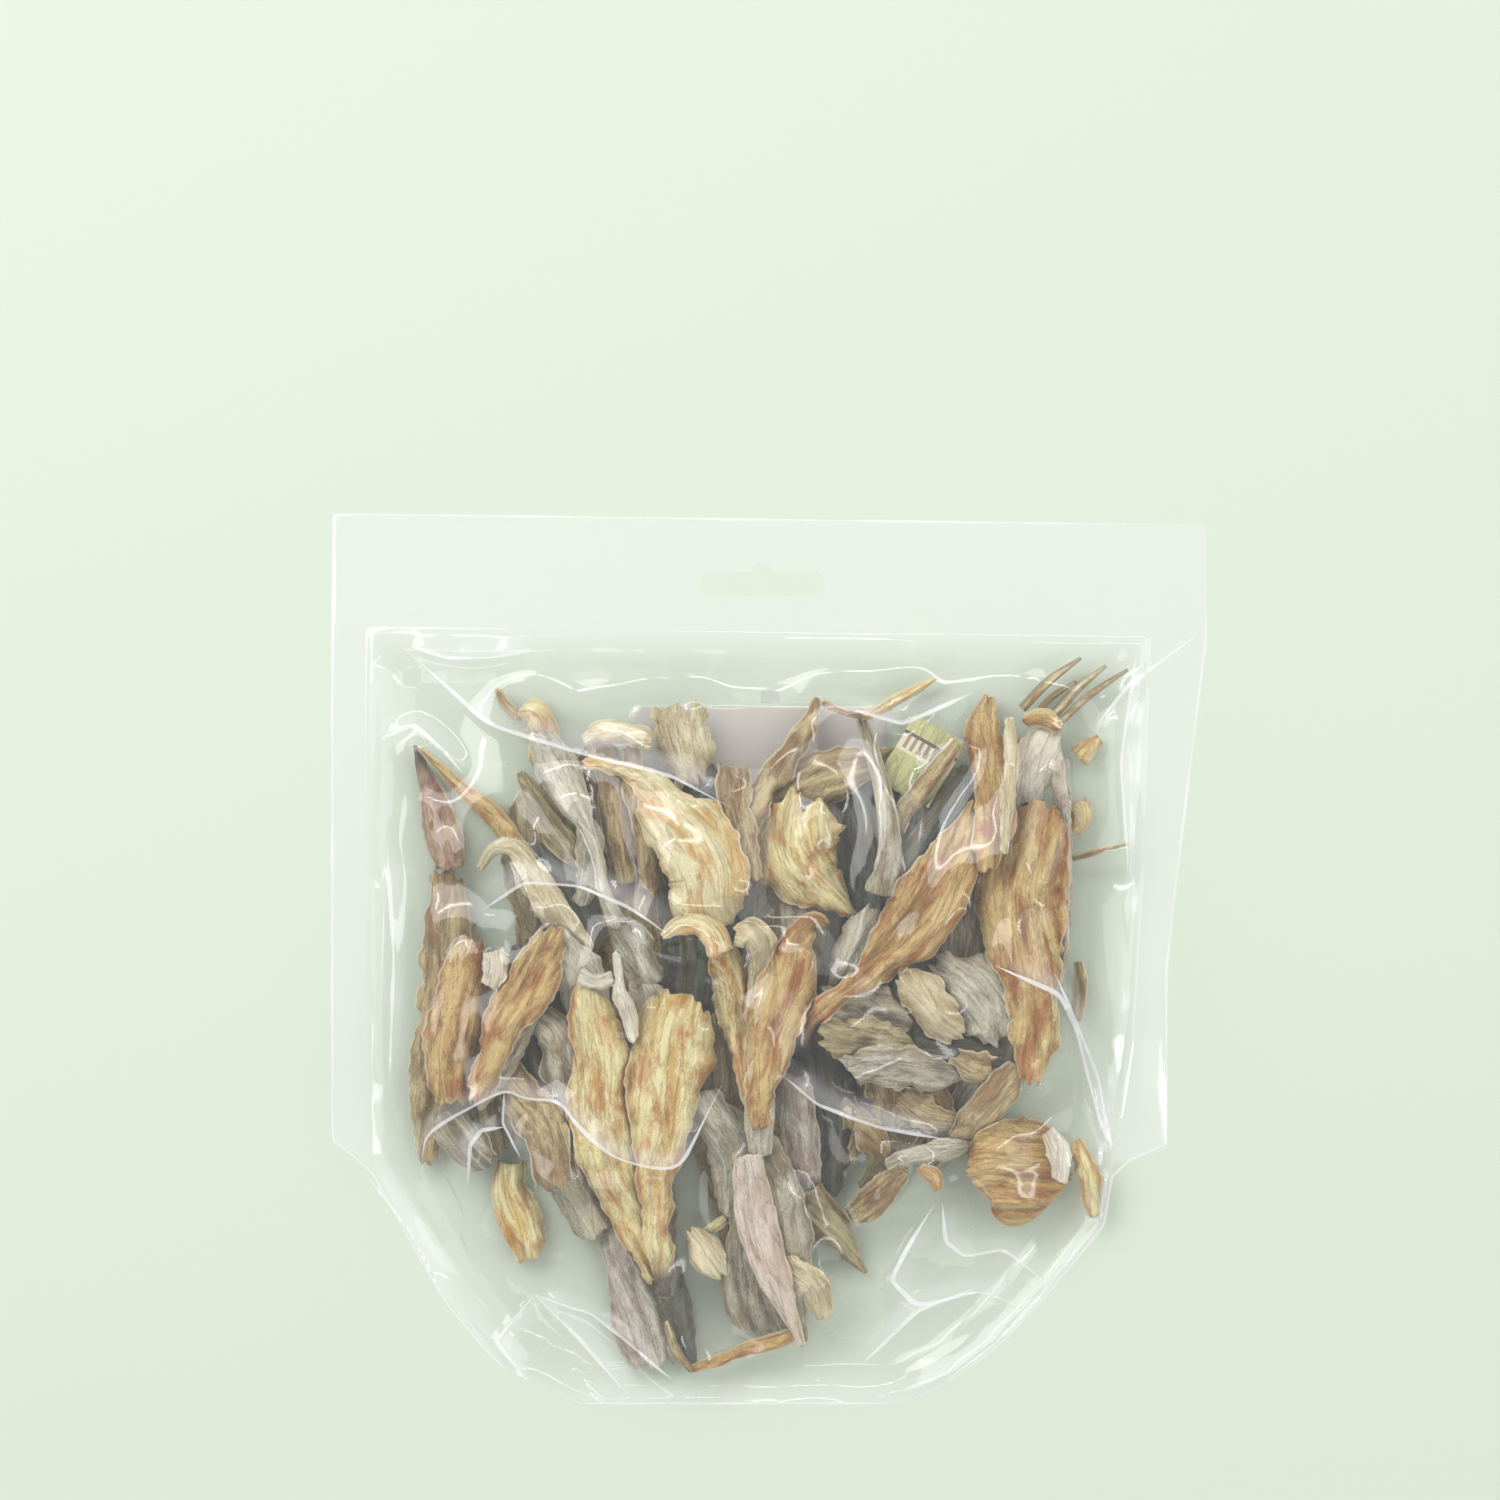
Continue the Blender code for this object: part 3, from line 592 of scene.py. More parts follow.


# %% [markdown]
# ## How dried fish looks
# Dried flesh is matt and fibrous: pale on the raised fibres and browner in the grooves, partly
# the flesh itself and partly painted shade. Stains gather along the rims, where it dried
# first, and the very rim is painted pale as a highlight. Cracks are painted darker as shade.
# One function makes every kind. It reads the grain, rim and tail attributes, the sheet's own
# flow coordinates for the fine fibres, and the place in the object for the mottles, so no two
# sheets repeat.

# %% Node helpers


def tone(red, green, blue):
    """A colour as it looks on a screen, as the light it stands for."""
    shades = (red, green, blue)
    return tuple(((c + 0.055) / 1.055) ** 2.4 if c > 0.04 else c / 12.92 for c in shades) + (1.0,)


def new_material(name):
    material = bpy.data.materials.new(name)
    material.use_nodes = True
    return material, material.node_tree, material.node_tree.nodes["Principled BSDF"]


def add_node(tree, kind, inputs=None, **settings):
    """A node with its settings, its inputs set to values or linked to sockets."""
    node = tree.nodes.new(kind)
    for key, value in settings.items():
        setattr(node, key, value)
    for key, value in (inputs or {}).items():
        if isinstance(value, bpy.types.NodeSocket):
            tree.links.new(value, node.inputs[key])
        else:
            node.inputs[key].default_value = value
    return node


def compute(tree, operation, *values):
    """The result of a sum on numbers or sockets."""
    return add_node(tree, "ShaderNodeMath", dict(enumerate(values)), operation=operation).outputs[0]


def blend_colours(tree, share, first, second, how="MIX"):
    """The colour between two, by a share that is a number or a socket."""
    inputs = {0: share, 6: first, 7: second}
    return add_node(tree, "ShaderNodeMix", inputs, data_type="RGBA", blend_type=how).outputs[2]


def remap(tree, value, low, high, to_low=0.0, to_high=1.0):
    inputs = {0: value, 1: low, 2: high, 3: to_low, 4: to_high}
    return add_node(tree, "ShaderNodeMapRange", inputs).outputs[0]


# %% Fish materials


def stretched_noise(tree, flow, across, along, detail, twist, fine=0.5):
    """Noise drawn out along the fibres: across and along are its cells per 100 mm."""
    drawn = add_node(tree, "ShaderNodeMapping", {0: flow, 3: (across, along, 1.0)}).outputs[0]
    inputs = {"Vector": drawn, "Scale": 1.0, "Detail": detail, "Distortion": twist, "Roughness": fine}
    return add_node(tree, "ShaderNodeTexNoise", inputs).outputs[0]


DARK_TAIL = (0.45, 0.38, 0.36)
FLESH_ROUGHNESS = 0.6
CRACK_WIDTH = 0.03
# how dark the painted shade in a crack is, and how far its bump sinks
CRACK_SHADE_AND_DEPTH = 0.32


def fish_look(name, flesh, groove_flesh_and_shade, stain, rim, mottle=0.5, stained=0.8):
    """A kind of dried flesh or skin: raised fibres, grooves and cracks with painted shade,
    stains, rims with a painted highlight, and dark tail.
    """
    material, tree, shader = new_material(name)
    attribute = {}
    for layer in ("grain", "rim", "tail"):
        attribute[layer] = add_node(tree, "ShaderNodeAttribute", attribute_name=layer).outputs["Fac"]
    flow = add_node(tree, "ShaderNodeUVMap", uv_map="flow").outputs[0]
    place = add_node(tree, "ShaderNodeTexCoord").outputs["Object"]
    fibre = stretched_noise(tree, flow, 70.0, 12.0, 4.0, 1.0)
    matted = stretched_noise(tree, flow, 150.0, 60.0, 6.0, 2.0)
    cracks = stretched_noise(tree, flow, 34.0, 4.0, 5.0, 0.8)
    stains = stretched_noise(tree, flow, 20.0, 8.0, 9.0, 0.5, 0.65)
    inputs = {"Vector": place, "Scale": 90.0, "Detail": 9.0, "Roughness": 0.65}
    spots = add_node(tree, "ShaderNodeTexNoise", inputs).outputs[0]
    height = compute(tree, "ADD", compute(tree, "ADD", attribute["grain"], fibre), matted)
    # low places in the relief take the groove colour: browner flesh and painted shade
    colour = blend_colours(tree, remap(tree, height, 1.22, 1.60), tone(*groove_flesh_and_shade), tone(*flesh))
    edged = compute(tree, "MULTIPLY_ADD", attribute["rim"], 0.12, stains)
    colour = blend_colours(tree, remap(tree, edged, 0.47, 0.62, 0.0, stained), colour, tone(*stain))
    grey = blend_colours(tree, 1.0, colour, tone(0.88, 0.86, 0.82), "MULTIPLY")
    colour = blend_colours(tree, remap(tree, spots, 0.48, 0.70, 0.0, mottle), colour, grey)
    # cracks are sunk by the bump and painted darker, as painted shade in them
    off_middle = compute(tree, "ABSOLUTE", compute(tree, "SUBTRACT", cracks, 0.5))
    crack = remap(tree, off_middle, 0.0, CRACK_WIDTH, CRACK_SHADE_AND_DEPTH, 0.0)
    dark = blend_colours(tree, 1.0, tone(*groove_flesh_and_shade), tone(0.66, 0.55, 0.45), "MULTIPLY")
    colour = blend_colours(tree, crack, colour, dark)
    # the very rim takes its rim colour, a painted highlight (on the spines painted shade)
    colour = blend_colours(tree, remap(tree, attribute["rim"], 0.45, 0.95, 0.0, 0.8), colour, tone(*rim))
    colour = blend_colours(tree, attribute["tail"], colour, tone(*DARK_TAIL))
    tree.links.new(colour, shader.inputs["Base Color"])
    shader.inputs["Roughness"].default_value = FLESH_ROUGHNESS
    relief = {"Height": compute(tree, "SUBTRACT", height, crack), "Distance": 0.0008, "Strength": 0.9}
    tree.links.new(add_node(tree, "ShaderNodeBump", relief).outputs[0], shader.inputs["Normal"])
    return material


# pale rims: a painted highlight where the thin edges catch the light
PALE_RIM_HIGHLIGHT = (0.97, 0.93, 0.80)
FISH_COLOURS = {  # raised fibres, grooves with painted shade, stains, rim as painted highlight, and changes
    "golden_flesh": ((1.0, 0.96, 0.74), (0.88, 0.75, 0.46), (0.80, 0.52, 0.26), PALE_RIM_HIGHLIGHT, {}),
    "golden_cream": ((1.0, 0.96, 0.78), (0.92, 0.84, 0.60), (0.90, 0.68, 0.38), PALE_RIM_HIGHLIGHT, {}),
    "brown_flesh": ((0.90, 0.78, 0.53), (0.68, 0.53, 0.32), (0.68, 0.39, 0.19), PALE_RIM_HIGHLIGHT, {}),
    "orange_flesh": ((0.92, 0.81, 0.56), (0.72, 0.57, 0.35), (0.70, 0.42, 0.21), PALE_RIM_HIGHLIGHT, {}),
    "rose_flesh": ((0.82, 0.70, 0.58), (0.60, 0.42, 0.36), (0.50, 0.30, 0.28), PALE_RIM_HIGHLIGHT, {}),
    "drab_flesh": ((0.84, 0.76, 0.57), (0.59, 0.52, 0.37), (0.58, 0.41, 0.26), PALE_RIM_HIGHLIGHT, {}),
    "cream_flesh": ((0.96, 0.92, 0.77), (0.82, 0.75, 0.58), (0.80, 0.66, 0.48),
                    PALE_RIM_HIGHLIGHT, {"stained": 0.35}),
    "pale_skin": ((0.90, 0.88, 0.80), (0.70, 0.68, 0.60), (0.66, 0.60, 0.50),
                  (0.93, 0.91, 0.84), {"stained": 0.4}),
    "grey_skin": ((0.84, 0.81, 0.72), (0.60, 0.58, 0.51), (0.58, 0.50, 0.38),
                  (0.88, 0.85, 0.74), {"mottle": 0.7}),
    "olive_skin": ((0.80, 0.75, 0.58), (0.56, 0.52, 0.39), (0.52, 0.43, 0.28),
                   (0.86, 0.81, 0.65), {"mottle": 0.7}),
    # dark skin, also laid in the gaps of the heap as painted shade
    "dark_skin_and_gap_shade": ((0.48, 0.51, 0.47), (0.28, 0.33, 0.32), (0.46, 0.40, 0.31),
                  (0.60, 0.58, 0.51), {"mottle": 0.8, "stained": 0.9}),
    "violet_tail": ((0.90, 0.87, 0.80), (0.71, 0.67, 0.62), (0.64, 0.54, 0.48), (0.88, 0.85, 0.79), {}),
    "pink_tail": ((0.97, 0.91, 0.84), (0.85, 0.76, 0.70), (0.80, 0.66, 0.54), PALE_RIM_HIGHLIGHT, {"stained": 0.5}),
    "chalk_skin": ((1.0, 0.98, 0.91), (0.94, 0.90, 0.79), (0.90, 0.79, 0.60),
                   (0.97, 0.95, 0.88), {"mottle": 0.3, "stained": 0.3}),
    # the spines' darker rim is painted shade along their edges
    "pale_spine": ((0.95, 0.91, 0.74), (0.78, 0.71, 0.53), (0.66, 0.52, 0.34), (0.62, 0.56, 0.45), {}),
    "slip_paper": ((0.84, 0.85, 0.62), (0.84, 0.85, 0.62), (0.80, 0.82, 0.58),
                   (0.84, 0.85, 0.62), {"mottle": 0.1, "stained": 0.1}),
}
LOOKS = {}
for name, (*colours, changes) in FISH_COLOURS.items():
    LOOKS[name] = fish_look(name, *colours, **changes)
print(len(LOOKS), "kinds of flesh and skin")


def join_items(name, items):
    """One object from several, keeping each one's material."""
    with bpy.context.temp_override(active_object=items[0], selected_editable_objects=items):
        bpy.ops.object.join()
    items[0].name = name
    return items[0]


for name in dict.fromkeys(piece["group"] for piece in sheets):
    group = [piece for piece in sheets if piece["group"] == name]
    item = join_items(name, [make_sheet(piece) for piece in group])
    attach(item, BODY)
    print(name, len(item.data.polygons))

# %% [markdown]
# A printed paper slip lies among the fish. Its print is kept to what can be seen without
# reading it: a line, a cream band and five brown bars, as faces in their own colours.

# %% Print on the slip


LINE_BACK = (4.2, 4.9)  # the print's places on the slip, back from its end and across it
BAND_BACK = 9.5
BARS_BACK = (5.6, 8.8)
BARS_ACROSS = (-2.6, 6.6)
BAR_PITCH = 1.9
BAR_WIDTH = 1.1
INKS = {"slip_line": (0.42, 0.38, 0.34), "slip_band": (0.87, 0.84, 0.72), "slip_bars": (0.62, 0.55, 0.50)}


def plain_look(name, colour, rough):
    material, _, shader = new_material(name)
    shader.inputs["Base Color"].default_value = tone(*colour)
    shader.inputs["Roughness"].default_value = rough
    return material


slip = bpy.data.objects["paper_slip"]
for name, colour in INKS.items():
    slip.data.materials.append(plain_look(name, colour, 0.6))
flow = np.array([loop.uv[:] for loop in slip.data.uv_layers["flow"].data]) * 100
flow -= [flow[:, 0].mean(), flow[:, 1].max()]
for face in slip.data.polygons:
    across, back = flow[face.loop_indices].mean(axis=0) * (1, -1)
    if LINE_BACK[0] < back < LINE_BACK[1]:
        face.material_index = 1
    elif LINE_BACK[1] <= back < BAND_BACK:
        in_row = BARS_ACROSS[0] < across < BARS_ACROSS[1] and BARS_BACK[0] < back < BARS_BACK[1]
        in_bar = in_row and (across - BARS_ACROSS[0]) % BAR_PITCH < BAR_WIDTH
        face.material_index = 3 if in_bar else 2

# %% [markdown]
# ## The film
# The bag is two sheets of clear film welded along the sides and across the header. The
# lower one lies on the ground. The upper one is drawn over the heap by the air that was
# pressed out, so it touches the crests, spans the hollows and creases where it has more
# length than it needs. It is worked out as a net of threads of fixed length that sinks
# until the heap holds it, and that is what gives the creases their real look.

# %% The outline of the welded bag
SEAM_Z = 6.6
DROOP = 0.09  # fall of the seals and the header, per millimetre away from the pouch
BAG_LENGTH = 228.3
TOP_SKEW = 2.9
POUCH_TOP = 82.5
POUCH_TOP_SLOPE = -0.013
HEADER_SHARE = 9 / 66  # the net's rows in the header, and its columns in a side seal
SIDE_SHARE = 3 / 66
LEAST_SEAL = 0.8
LEFT_EDGE = [(-112.2, 114.15), (-112.2, -47.0), (-102.4, -54.5), (-92.0, -73.0), (-83.0, -88.5),
             (-69.4, -104.5), (-48.8, -114.15)]
RIGHT_EDGE = [(112.2, 111.25), (112.2, 83.0), (109.5, 62.0), (103.8, 15.0), (102.0, -2.0), (102.0, -49.0),
              (88.5, -52.5), (86.0, -68.0), (72.0, -85.5), (60.0, -98.5), (46.5, -109.0), (33.8, -114.15)]
LEFT_SEAM = [(-103.0, POUCH_TOP), (-103.0, -54.0)] + LEFT_EDGE[3:]
RIGHT_SEAM = [(97.0, POUCH_TOP), (95.5, 20.0), (93.0, -20.0), (88.0, -53.0)] + RIGHT_EDGE[7:]


def edge_at(line, y):
    """The x of an edge line at the heights y."""
    xs, ys = np.array(line).T
    return np.interp(y, ys[::-1], xs[::-1])


def film_net(count):
    """The places of a net of count by count threads over the whole bag, and its free knots."""
    steps = np.linspace(0, 1, count)
    up, across = np.meshgrid(steps, steps, indexing="ij")
    in_pouch = up / (1.0 - HEADER_SHARE)
    in_header = np.maximum(up - 1.0 + HEADER_SHARE, 0.0) / HEADER_SHARE
    header = BAG_LENGTH / 2 - POUCH_TOP
    level = (np.minimum(in_pouch, 1.0) - 0.5) * (BAG_LENGTH / 2 + POUCH_TOP) - header / 2
    level = level + in_header * header
    stops = [edge_at(line, level) for line in (LEFT_EDGE, LEFT_SEAM, RIGHT_SEAM, RIGHT_EDGE)]
    stops[1] = np.maximum(stops[1], stops[0] + LEAST_SEAL)
    stops[2] = np.minimum(stops[2], stops[3] - LEAST_SEAL)
    middle = (across - SIDE_SHARE) / (1 - 2 * SIDE_SHARE)
    shares = [across / SIDE_SHARE, middle, (across - 1) / SIDE_SHARE + 1]
    runs = [(far - near) * np.clip(share, 0, 1) for near, far, share in zip(stops, stops[1:], shares)]
    x = stops[0] + sum(runs)
    y = level + np.minimum(in_pouch, 1.0) * POUCH_TOP_SLOPE * x
    y = y - in_header * (TOP_SKEW * across + POUCH_TOP_SLOPE * x)
    tiny = 0.3 / count
    in_width = (across > SIDE_SHARE + tiny) & (across < 1 - SIDE_SHARE - tiny)
    free = in_width & (up > tiny) & (in_pouch < 1 - tiny)
    beside = np.maximum(np.maximum(stops[1] - x, x - stops[2]), 0.0)
    above = np.maximum(level - POUCH_TOP, 0.0)
    return x, y, free, SEAM_Z - DROOP * np.hypot(beside, above)


# %% The net that settles
GAP = 0.3
SLACK = 1.004  # the film is cut this much longer than its tightest line
MOST_ACROSS = 1.03
MOST_ALONG = 1.02
under_film = np.maximum(blur(widest(heap, 3), 2.5), widest(heap, 1)) + GAP


def drawn_tight(x, y, free, seal):
    """The heights of a film stretched tight over the heap, like the skin of a drum."""
    held = np.where(free, look_up(under_film, x, y), seal)
    z = np.where(free, look_up(bag_top, x, y), held)
    for _ in range(8 * len(z)):
        z[1:-1, 1:-1] = (z[:-2, 1:-1] + z[2:, 1:-1] + z[1:-1, :-2] + z[1:-1, 2:]) / 4
        z = np.where(free, np.maximum(z, held), held)
    return z


def pull(net, first, second, rest, move_first, move_second):
    """Draws two sets of knots together or apart until their threads have the rest length."""
    way = net[second] - net[first]
    length = np.sqrt((way**2).sum(-1))
    weight = move_first + move_second
    stretch = (length - rest) / np.maximum(length, 1e-6) / np.maximum(weight, 1e-6)
    push = way * (stretch * (weight > 0))[..., None]
    net[first] += push * move_first[..., None]
    net[second] -= push * move_second[..., None]


def thread_pairs(count):
    """Slices that pair the knots along both ways and both diagonals, without sharing one."""
    pairs = []
    for start in (0, 1):
        low, high = slice(start, count - 1, 2), slice(start + 1, count, 2)
        pairs.append(("across", (slice(None), low), (slice(None), high)))
        pairs.append(("along", (low, slice(None)), (high, slice(None))))
    for start in (0, 1):
        low, high = slice(start, count - 1, 2), slice(start + 1, count, 2)
        pairs.append(("slant", (low, slice(0, -1)), (high, slice(1, None))))
        pairs.append(("slant", (low, slice(1, None)), (high, slice(0, -1))))
    return pairs


def bend(z):
    """How far each knot stands off the mean of its four neighbours."""
    off = np.zeros_like(z)
    off[1:-1, 1:-1] = (z[:-2, 1:-1] + z[2:, 1:-1] + z[1:-1, :-2] + z[1:-1, 2:]) / 4 - z[1:-1, 1:-1]
    return off


def evened(lengths, free, most):
    """How much longer each line of threads is cut than it needs, so that all match."""
    total = (lengths * free).sum(1)
    flat = free.sum(1) > 0
    longest = np.percentile(total[flat], 97) * SLACK
    share = np.where(flat, longest / np.maximum(total, 1.0), 1.0)
    return np.clip(share, SLACK, most)[:, None]


def settle_net(net, count, rounds, sink, stiffness, sharp):
    """Lets the net sink onto the heap for a number of rounds."""
    x, y, free, seal = film_net(count)
    start = np.stack([x, y, drawn_tight(x, y, free, seal)], -1)
    pairs = thread_pairs(count)
    steps = [np.sqrt((np.diff(start, axis=way) ** 2).sum(-1)) for way in (0, 1)]
    across = evened(np.pad(steps[1], ((0, 0), (0, 1))), free, MOST_ACROSS)
    along = evened(np.pad(steps[0], ((0, 1), (0, 0))).T, free.T, MOST_ALONG).T
    cut = {"across": across + 0 * x, "along": along + 0 * x, "slant": (across + along) / 2}
    rests = []
    for kind, first, second in pairs:
        length = np.sqrt(((start[second] - start[first]) ** 2).sum(-1))
        rests.append(length * cut[kind][first])
    move = free.astype(float)
    for turn in range(rounds):
        net[..., 2] -= sink * move
        for (kind, first, second), rest in zip(pairs, rests):
            pull(net, first, second, rest, move[first], move[second])
        curve = bend(net[..., 2])
        curve = curve * sharp / (np.abs(bend(curve)) + sharp)
        net[..., 2] += stiffness * curve * move
        floor = look_up(under_film, net[..., 0], net[..., 1])
        top = look_up(bag_top, net[..., 0], net[..., 1]) + 1.0
        net[..., 2] = np.where(free, np.clip(net[..., 2], floor, np.maximum(top, floor)), net[..., 2])
    return net


# %% Let the film settle
COARSE, FINE = 67, 219
x, y, free, seal = film_net(COARSE)
level = drawn_tight(x, y, free, seal)
net = np.stack([x, y, level + free * soft_noise(x / 9.0, y / 9.0, 9)], -1)
net = settle_net(net, COARSE, 200, 0.012, 0.1, 0.5)

t_coarse, t_fine = np.linspace(0, 1, COARSE), np.linspace(0, 1, FINE)
moved = net - np.stack([x, y, seal], -1)
for _ in range(2):
    lines = moved.reshape(len(moved), -1).T
    moved = np.array([np.interp(t_fine, t_coarse, line) for line in lines]).T
    moved = moved.reshape(FINE, -1, 3).transpose(1, 0, 2)
x, y, free, seal = film_net(FINE)
net = np.stack([x, y, seal], -1) + moved * free[..., None]

# %% Fine creases
HEAP_MIDDLE = (-4.0, -8.0)
CREASE_HEIGHT = 0.8
SCALLOP_PITCH = 11.5  # bubbles along the weld under the header
SCALLOP_HEIGHT = 1.3
SCALLOP_Y = 76.0
off_x, off_y = x - HEAP_MIDDLE[0], y - HEAP_MIDDLE[1]
turn, out = np.arctan2(off_y, off_x), np.hypot(off_x, off_y)
rays = ridges(turn * 4.0 + 60, out / 90.0, 51) + 0.25 * ridges(turn * 11.0 + 200, out / 60.0, 53)
loose = np.clip((net[..., 2] - look_up(under_film, x, y) - 0.5) / 3.0, 0, 1)
net[..., 2] += CREASE_HEIGHT * rays * free * np.clip((out - 45) / 45, 0, 1) * (0.3 + 0.7 * loose)
row = np.exp(-(((y - SCALLOP_Y) / 4.0) ** 2)) * np.clip((66 - np.abs(x + 4)) / 10, 0, 1)
net[..., 2] += SCALLOP_HEIGHT * row * np.abs(np.sin(math.pi * x / SCALLOP_PITCH)) * free
net = settle_net(net, FINE, 220, 0.01, 0.25, 0.15)
print("the film stands up to", round(float(net[..., 2].max()), 1), "mm")

# %% [markdown]
# The last wobbles of the threads are evened out, as the film's stiffness would. Then come
# the sharp folds, where the film has too much length and folds over itself. A fold rises
# gently on one side and drops at a sharp edge on the other, and it is this edge that
# glints; the glint is painted pale on the rising side beside it. Each fold is given by the
# line of its edge, its height and how far it reaches.

# %% Folds
FOLD_DROP = 2.4  # how far the film takes to drop behind a fold's edge
# the pale painted beside a fold's edge, as a glint
FOLD_GLINT = 0.22
EVENING_ROUNDS = 24
FOLDS = [
    ([(-89, -56), (-88, -45), (-81, -40), (-67, -32), (-62, -35), (-53, -35), (-49, -41), (-39, -50),
      (-23, -53), (-18, -43), (-12, -31)], 1.6, 5.0),
    ([(-77, -58), (-76, -47), (-73, -43), (-67, -42)], 1.5, 4.0),
    ([(-67, -33), (-67.5, -41), (-63, -50)], 1.3, 4.0),
    ([(-93, 79), (-72, 60), (-46, 52), (-25, 47), (-10, 39)], 2.0, 7.0),
    ([(-92, 80), (-82, 77), (-72, 77), (-60, 79)], 2.0, 6.0),
    ([(-100, 56), (-91, 60), (-83, 53), (-78, 47)], 1.6, 5.0),
    ([(-74, 12), (-62, 20), (-48, 19), (-36, 14), (-25, 7)], 1.6, 7.0),
    ([(-103, -56), (-92, -70), (-84, -86)], 1.5, 6.0),
    ([(-60, -86), (-70, -98), (-62, -108)], 1.5, 5.0),
    ([(-60, -86), (-48, -98), (-36, -112)], 1.6, 6.0),
    ([(-60, -86), (-45, -91), (-24, -108)], 1.2, 4.0),
    ([(3, -28), (12, -36), (28, -42), (48, -46)], 1.5, 6.0),
    ([(57, -1), (73, -8), (78, -18), (85, -43), (90, -51)], 1.6, 5.0),
    ([(72, -3), (84, -30), (88, -52)], 1.3, 5.0),
    ([(42, -62), (36, -72), (31, -82), (38, -89), (54, -85), (66, -90)], 1.5, 5.0),
    ([(44, -62), (45, -72), (50, -76), (60, -74), (72, -84)], 1.2, 5.0),
    ([(24, -104), (38, -90), (54, -84)], 1.4, 5.0),
    ([(110, 83), (92, 70), (84, 60)], 1.4, 5.0),
    ([(94, 78), (90, 50), (92, 20)], 1.2, 4.0),
    ([(-98, 30), (-96, 0), (-97, -30)], 1.2, 4.0),
    ([(20, 64), (34, 60), (52, 68)], 1.2, 4.0),
]


def fold_line(line, height, reach):
    """Lays one fold: a ramp up to its edge line and a sharp drop behind it.

    It returns the painted glint on the ramp beside the edge, and the edge line.
    """
    points = np.array(line, float)
    fine = np.linspace(0, 1, 60)
    curve = [np.interp(fine, np.linspace(0, 1, len(points)), points[:, k]) for k in (0, 1)]
    for _ in range(5):
        for way in curve:
            way[1:-1] = (way[:-2] + 2 * way[1:-1] + way[2:]) / 4
    nearest, side, share = (np.full(x.shape, far) for far in (1e9, 0.0, 0.0))
    for k in range(len(fine) - 1):
        dx, dy = curve[0][k + 1] - curve[0][k], curve[1][k + 1] - curve[1][k]
        off_x, off_y = net[..., 0] - curve[0][k], net[..., 1] - curve[1][k]
        along = np.clip((off_x * dx + off_y * dy) / (dx * dx + dy * dy), 0, 1)
        off_x, off_y = off_x - along * dx, off_y - along * dy
        closer = np.hypot(off_x, off_y) < nearest
        nearest = np.where(closer, np.hypot(off_x, off_y), nearest)
        side = np.where(closer, np.sign(dx * off_y - dy * off_x), side)
        share = np.where(closer, (k + along) / (len(fine) - 1), share)
    ramp = np.clip(1 - nearest / np.where(side > 0, reach, FOLD_DROP), 0, 1)
    wave = 0.75 + 0.25 * soft_noise(share * 6, share * 0, int(reach * 10 + height * 100))
    fade = wave * np.clip(np.minimum(share, 1 - share) * 6, 0, 1) * free
    net[..., 2] += height * ramp**1.3 * fade
    return FOLD_GLINT * (side > 0) * np.clip(ramp * 2, 0, 1) * fade, np.array(curve).T


for _ in range(EVENING_ROUNDS):
    evener = net[..., 2] + 0.6 * bend(net[..., 2])
    held = look_up(under_film, net[..., 0], net[..., 1])
    net[..., 2] = np.where(free, np.maximum(evener, held), net[..., 2])
# painted glint beside the folds' edges
painted_glint = np.zeros_like(x)
edge_lines = []
for line, height, reach in FOLDS:
    fold_glint, curve = fold_line(line, height, reach)
    painted_glint = np.maximum(painted_glint, fold_glint)
    edge_lines.append(curve)
print(len(FOLDS), "folds laid on the film")
# the pouch mask sets where the film's tint paints shade, and how misty the film is
rows, cols = np.mgrid[0:FINE, 0:FINE] / (FINE - 1.0)
from_seam = np.minimum(np.minimum(cols, 1 - cols) - SIDE_SHARE, np.minimum(rows, 1 - HEADER_SHARE - rows))
in_pouch = np.clip(from_seam / 0.11, 0, 1) ** 0.7

# %% [markdown]
# Both sheets are grids of the same count, so their outer edges meet knot for knot and
# can be welded by merging them. The hanging slot is then cut through both.

# %% Film mesh
WELD_PLY = 0.1
SLOT_SIZE = (32.0, 6.2)
SLOT_CENTRE = (-1.7, 96.0)
HUMP_RADIUS = 2.7
HUMP_RISE = 2.7
CUT_DEPTH = 30.0


def grid_from(places, count, faces_up):
    """One sheet of film: a grid moved to its places, with its painted glint marked, and its
    pouch, which takes the painted shade.
    """
    bm = bmesh.new()
    bmesh.ops.create_grid(bm, x_segments=count - 1, y_segments=count - 1, size=1.0)
    glint, pouch = bm.verts.layers.float.new("painted_glint"), bm.verts.layers.float.new("pouch")
    for vert in bm.verts:
        col, row = (round((way + 1) / 2 * (count - 1)) for way in vert.co[:2])
        vert.co = places[row, col] * MM
        vert[glint] = painted_glint[row, col] * faces_up
        vert[pouch] = in_pouch[row, col]
    if not faces_up:
        bmesh.ops.reverse_faces(bm, faces=bm.faces)
    return bm


def slot_cutter():
    """A stadium as one prism through the header; the hump above it has a cutter of its own."""
    bm = bmesh.new()
    radius = SLOT_SIZE[1] / 2
    bmesh.ops.create_circle(bm, cap_ends=True, segments=32, radius=radius)
    for vert in bm.verts:
        vert.co.x += math.copysign(SLOT_SIZE[0] / 2 - radius, vert.co.x + 1e-4)
    through = bmesh.ops.extrude_face_region(bm, geom=bm.faces[:])["geom"]
    raised = [part for part in through if isinstance(part, bmesh.types.BMVert)]
    bmesh.ops.translate(bm, vec=(0.0, 0.0, CUT_DEPTH), verts=raised)
    return bm


def hump_cutter():
    bm = bmesh.new()
    bmesh.ops.create_cone(
        bm, cap_ends=True, segments=32, radius1=HUMP_RADIUS, radius2=HUMP_RADIUS, depth=CUT_DEPTH
    )
    bmesh.ops.translate(bm, vec=(0.0, HUMP_RISE, CUT_DEPTH / 2), verts=bm.verts)
    return bm


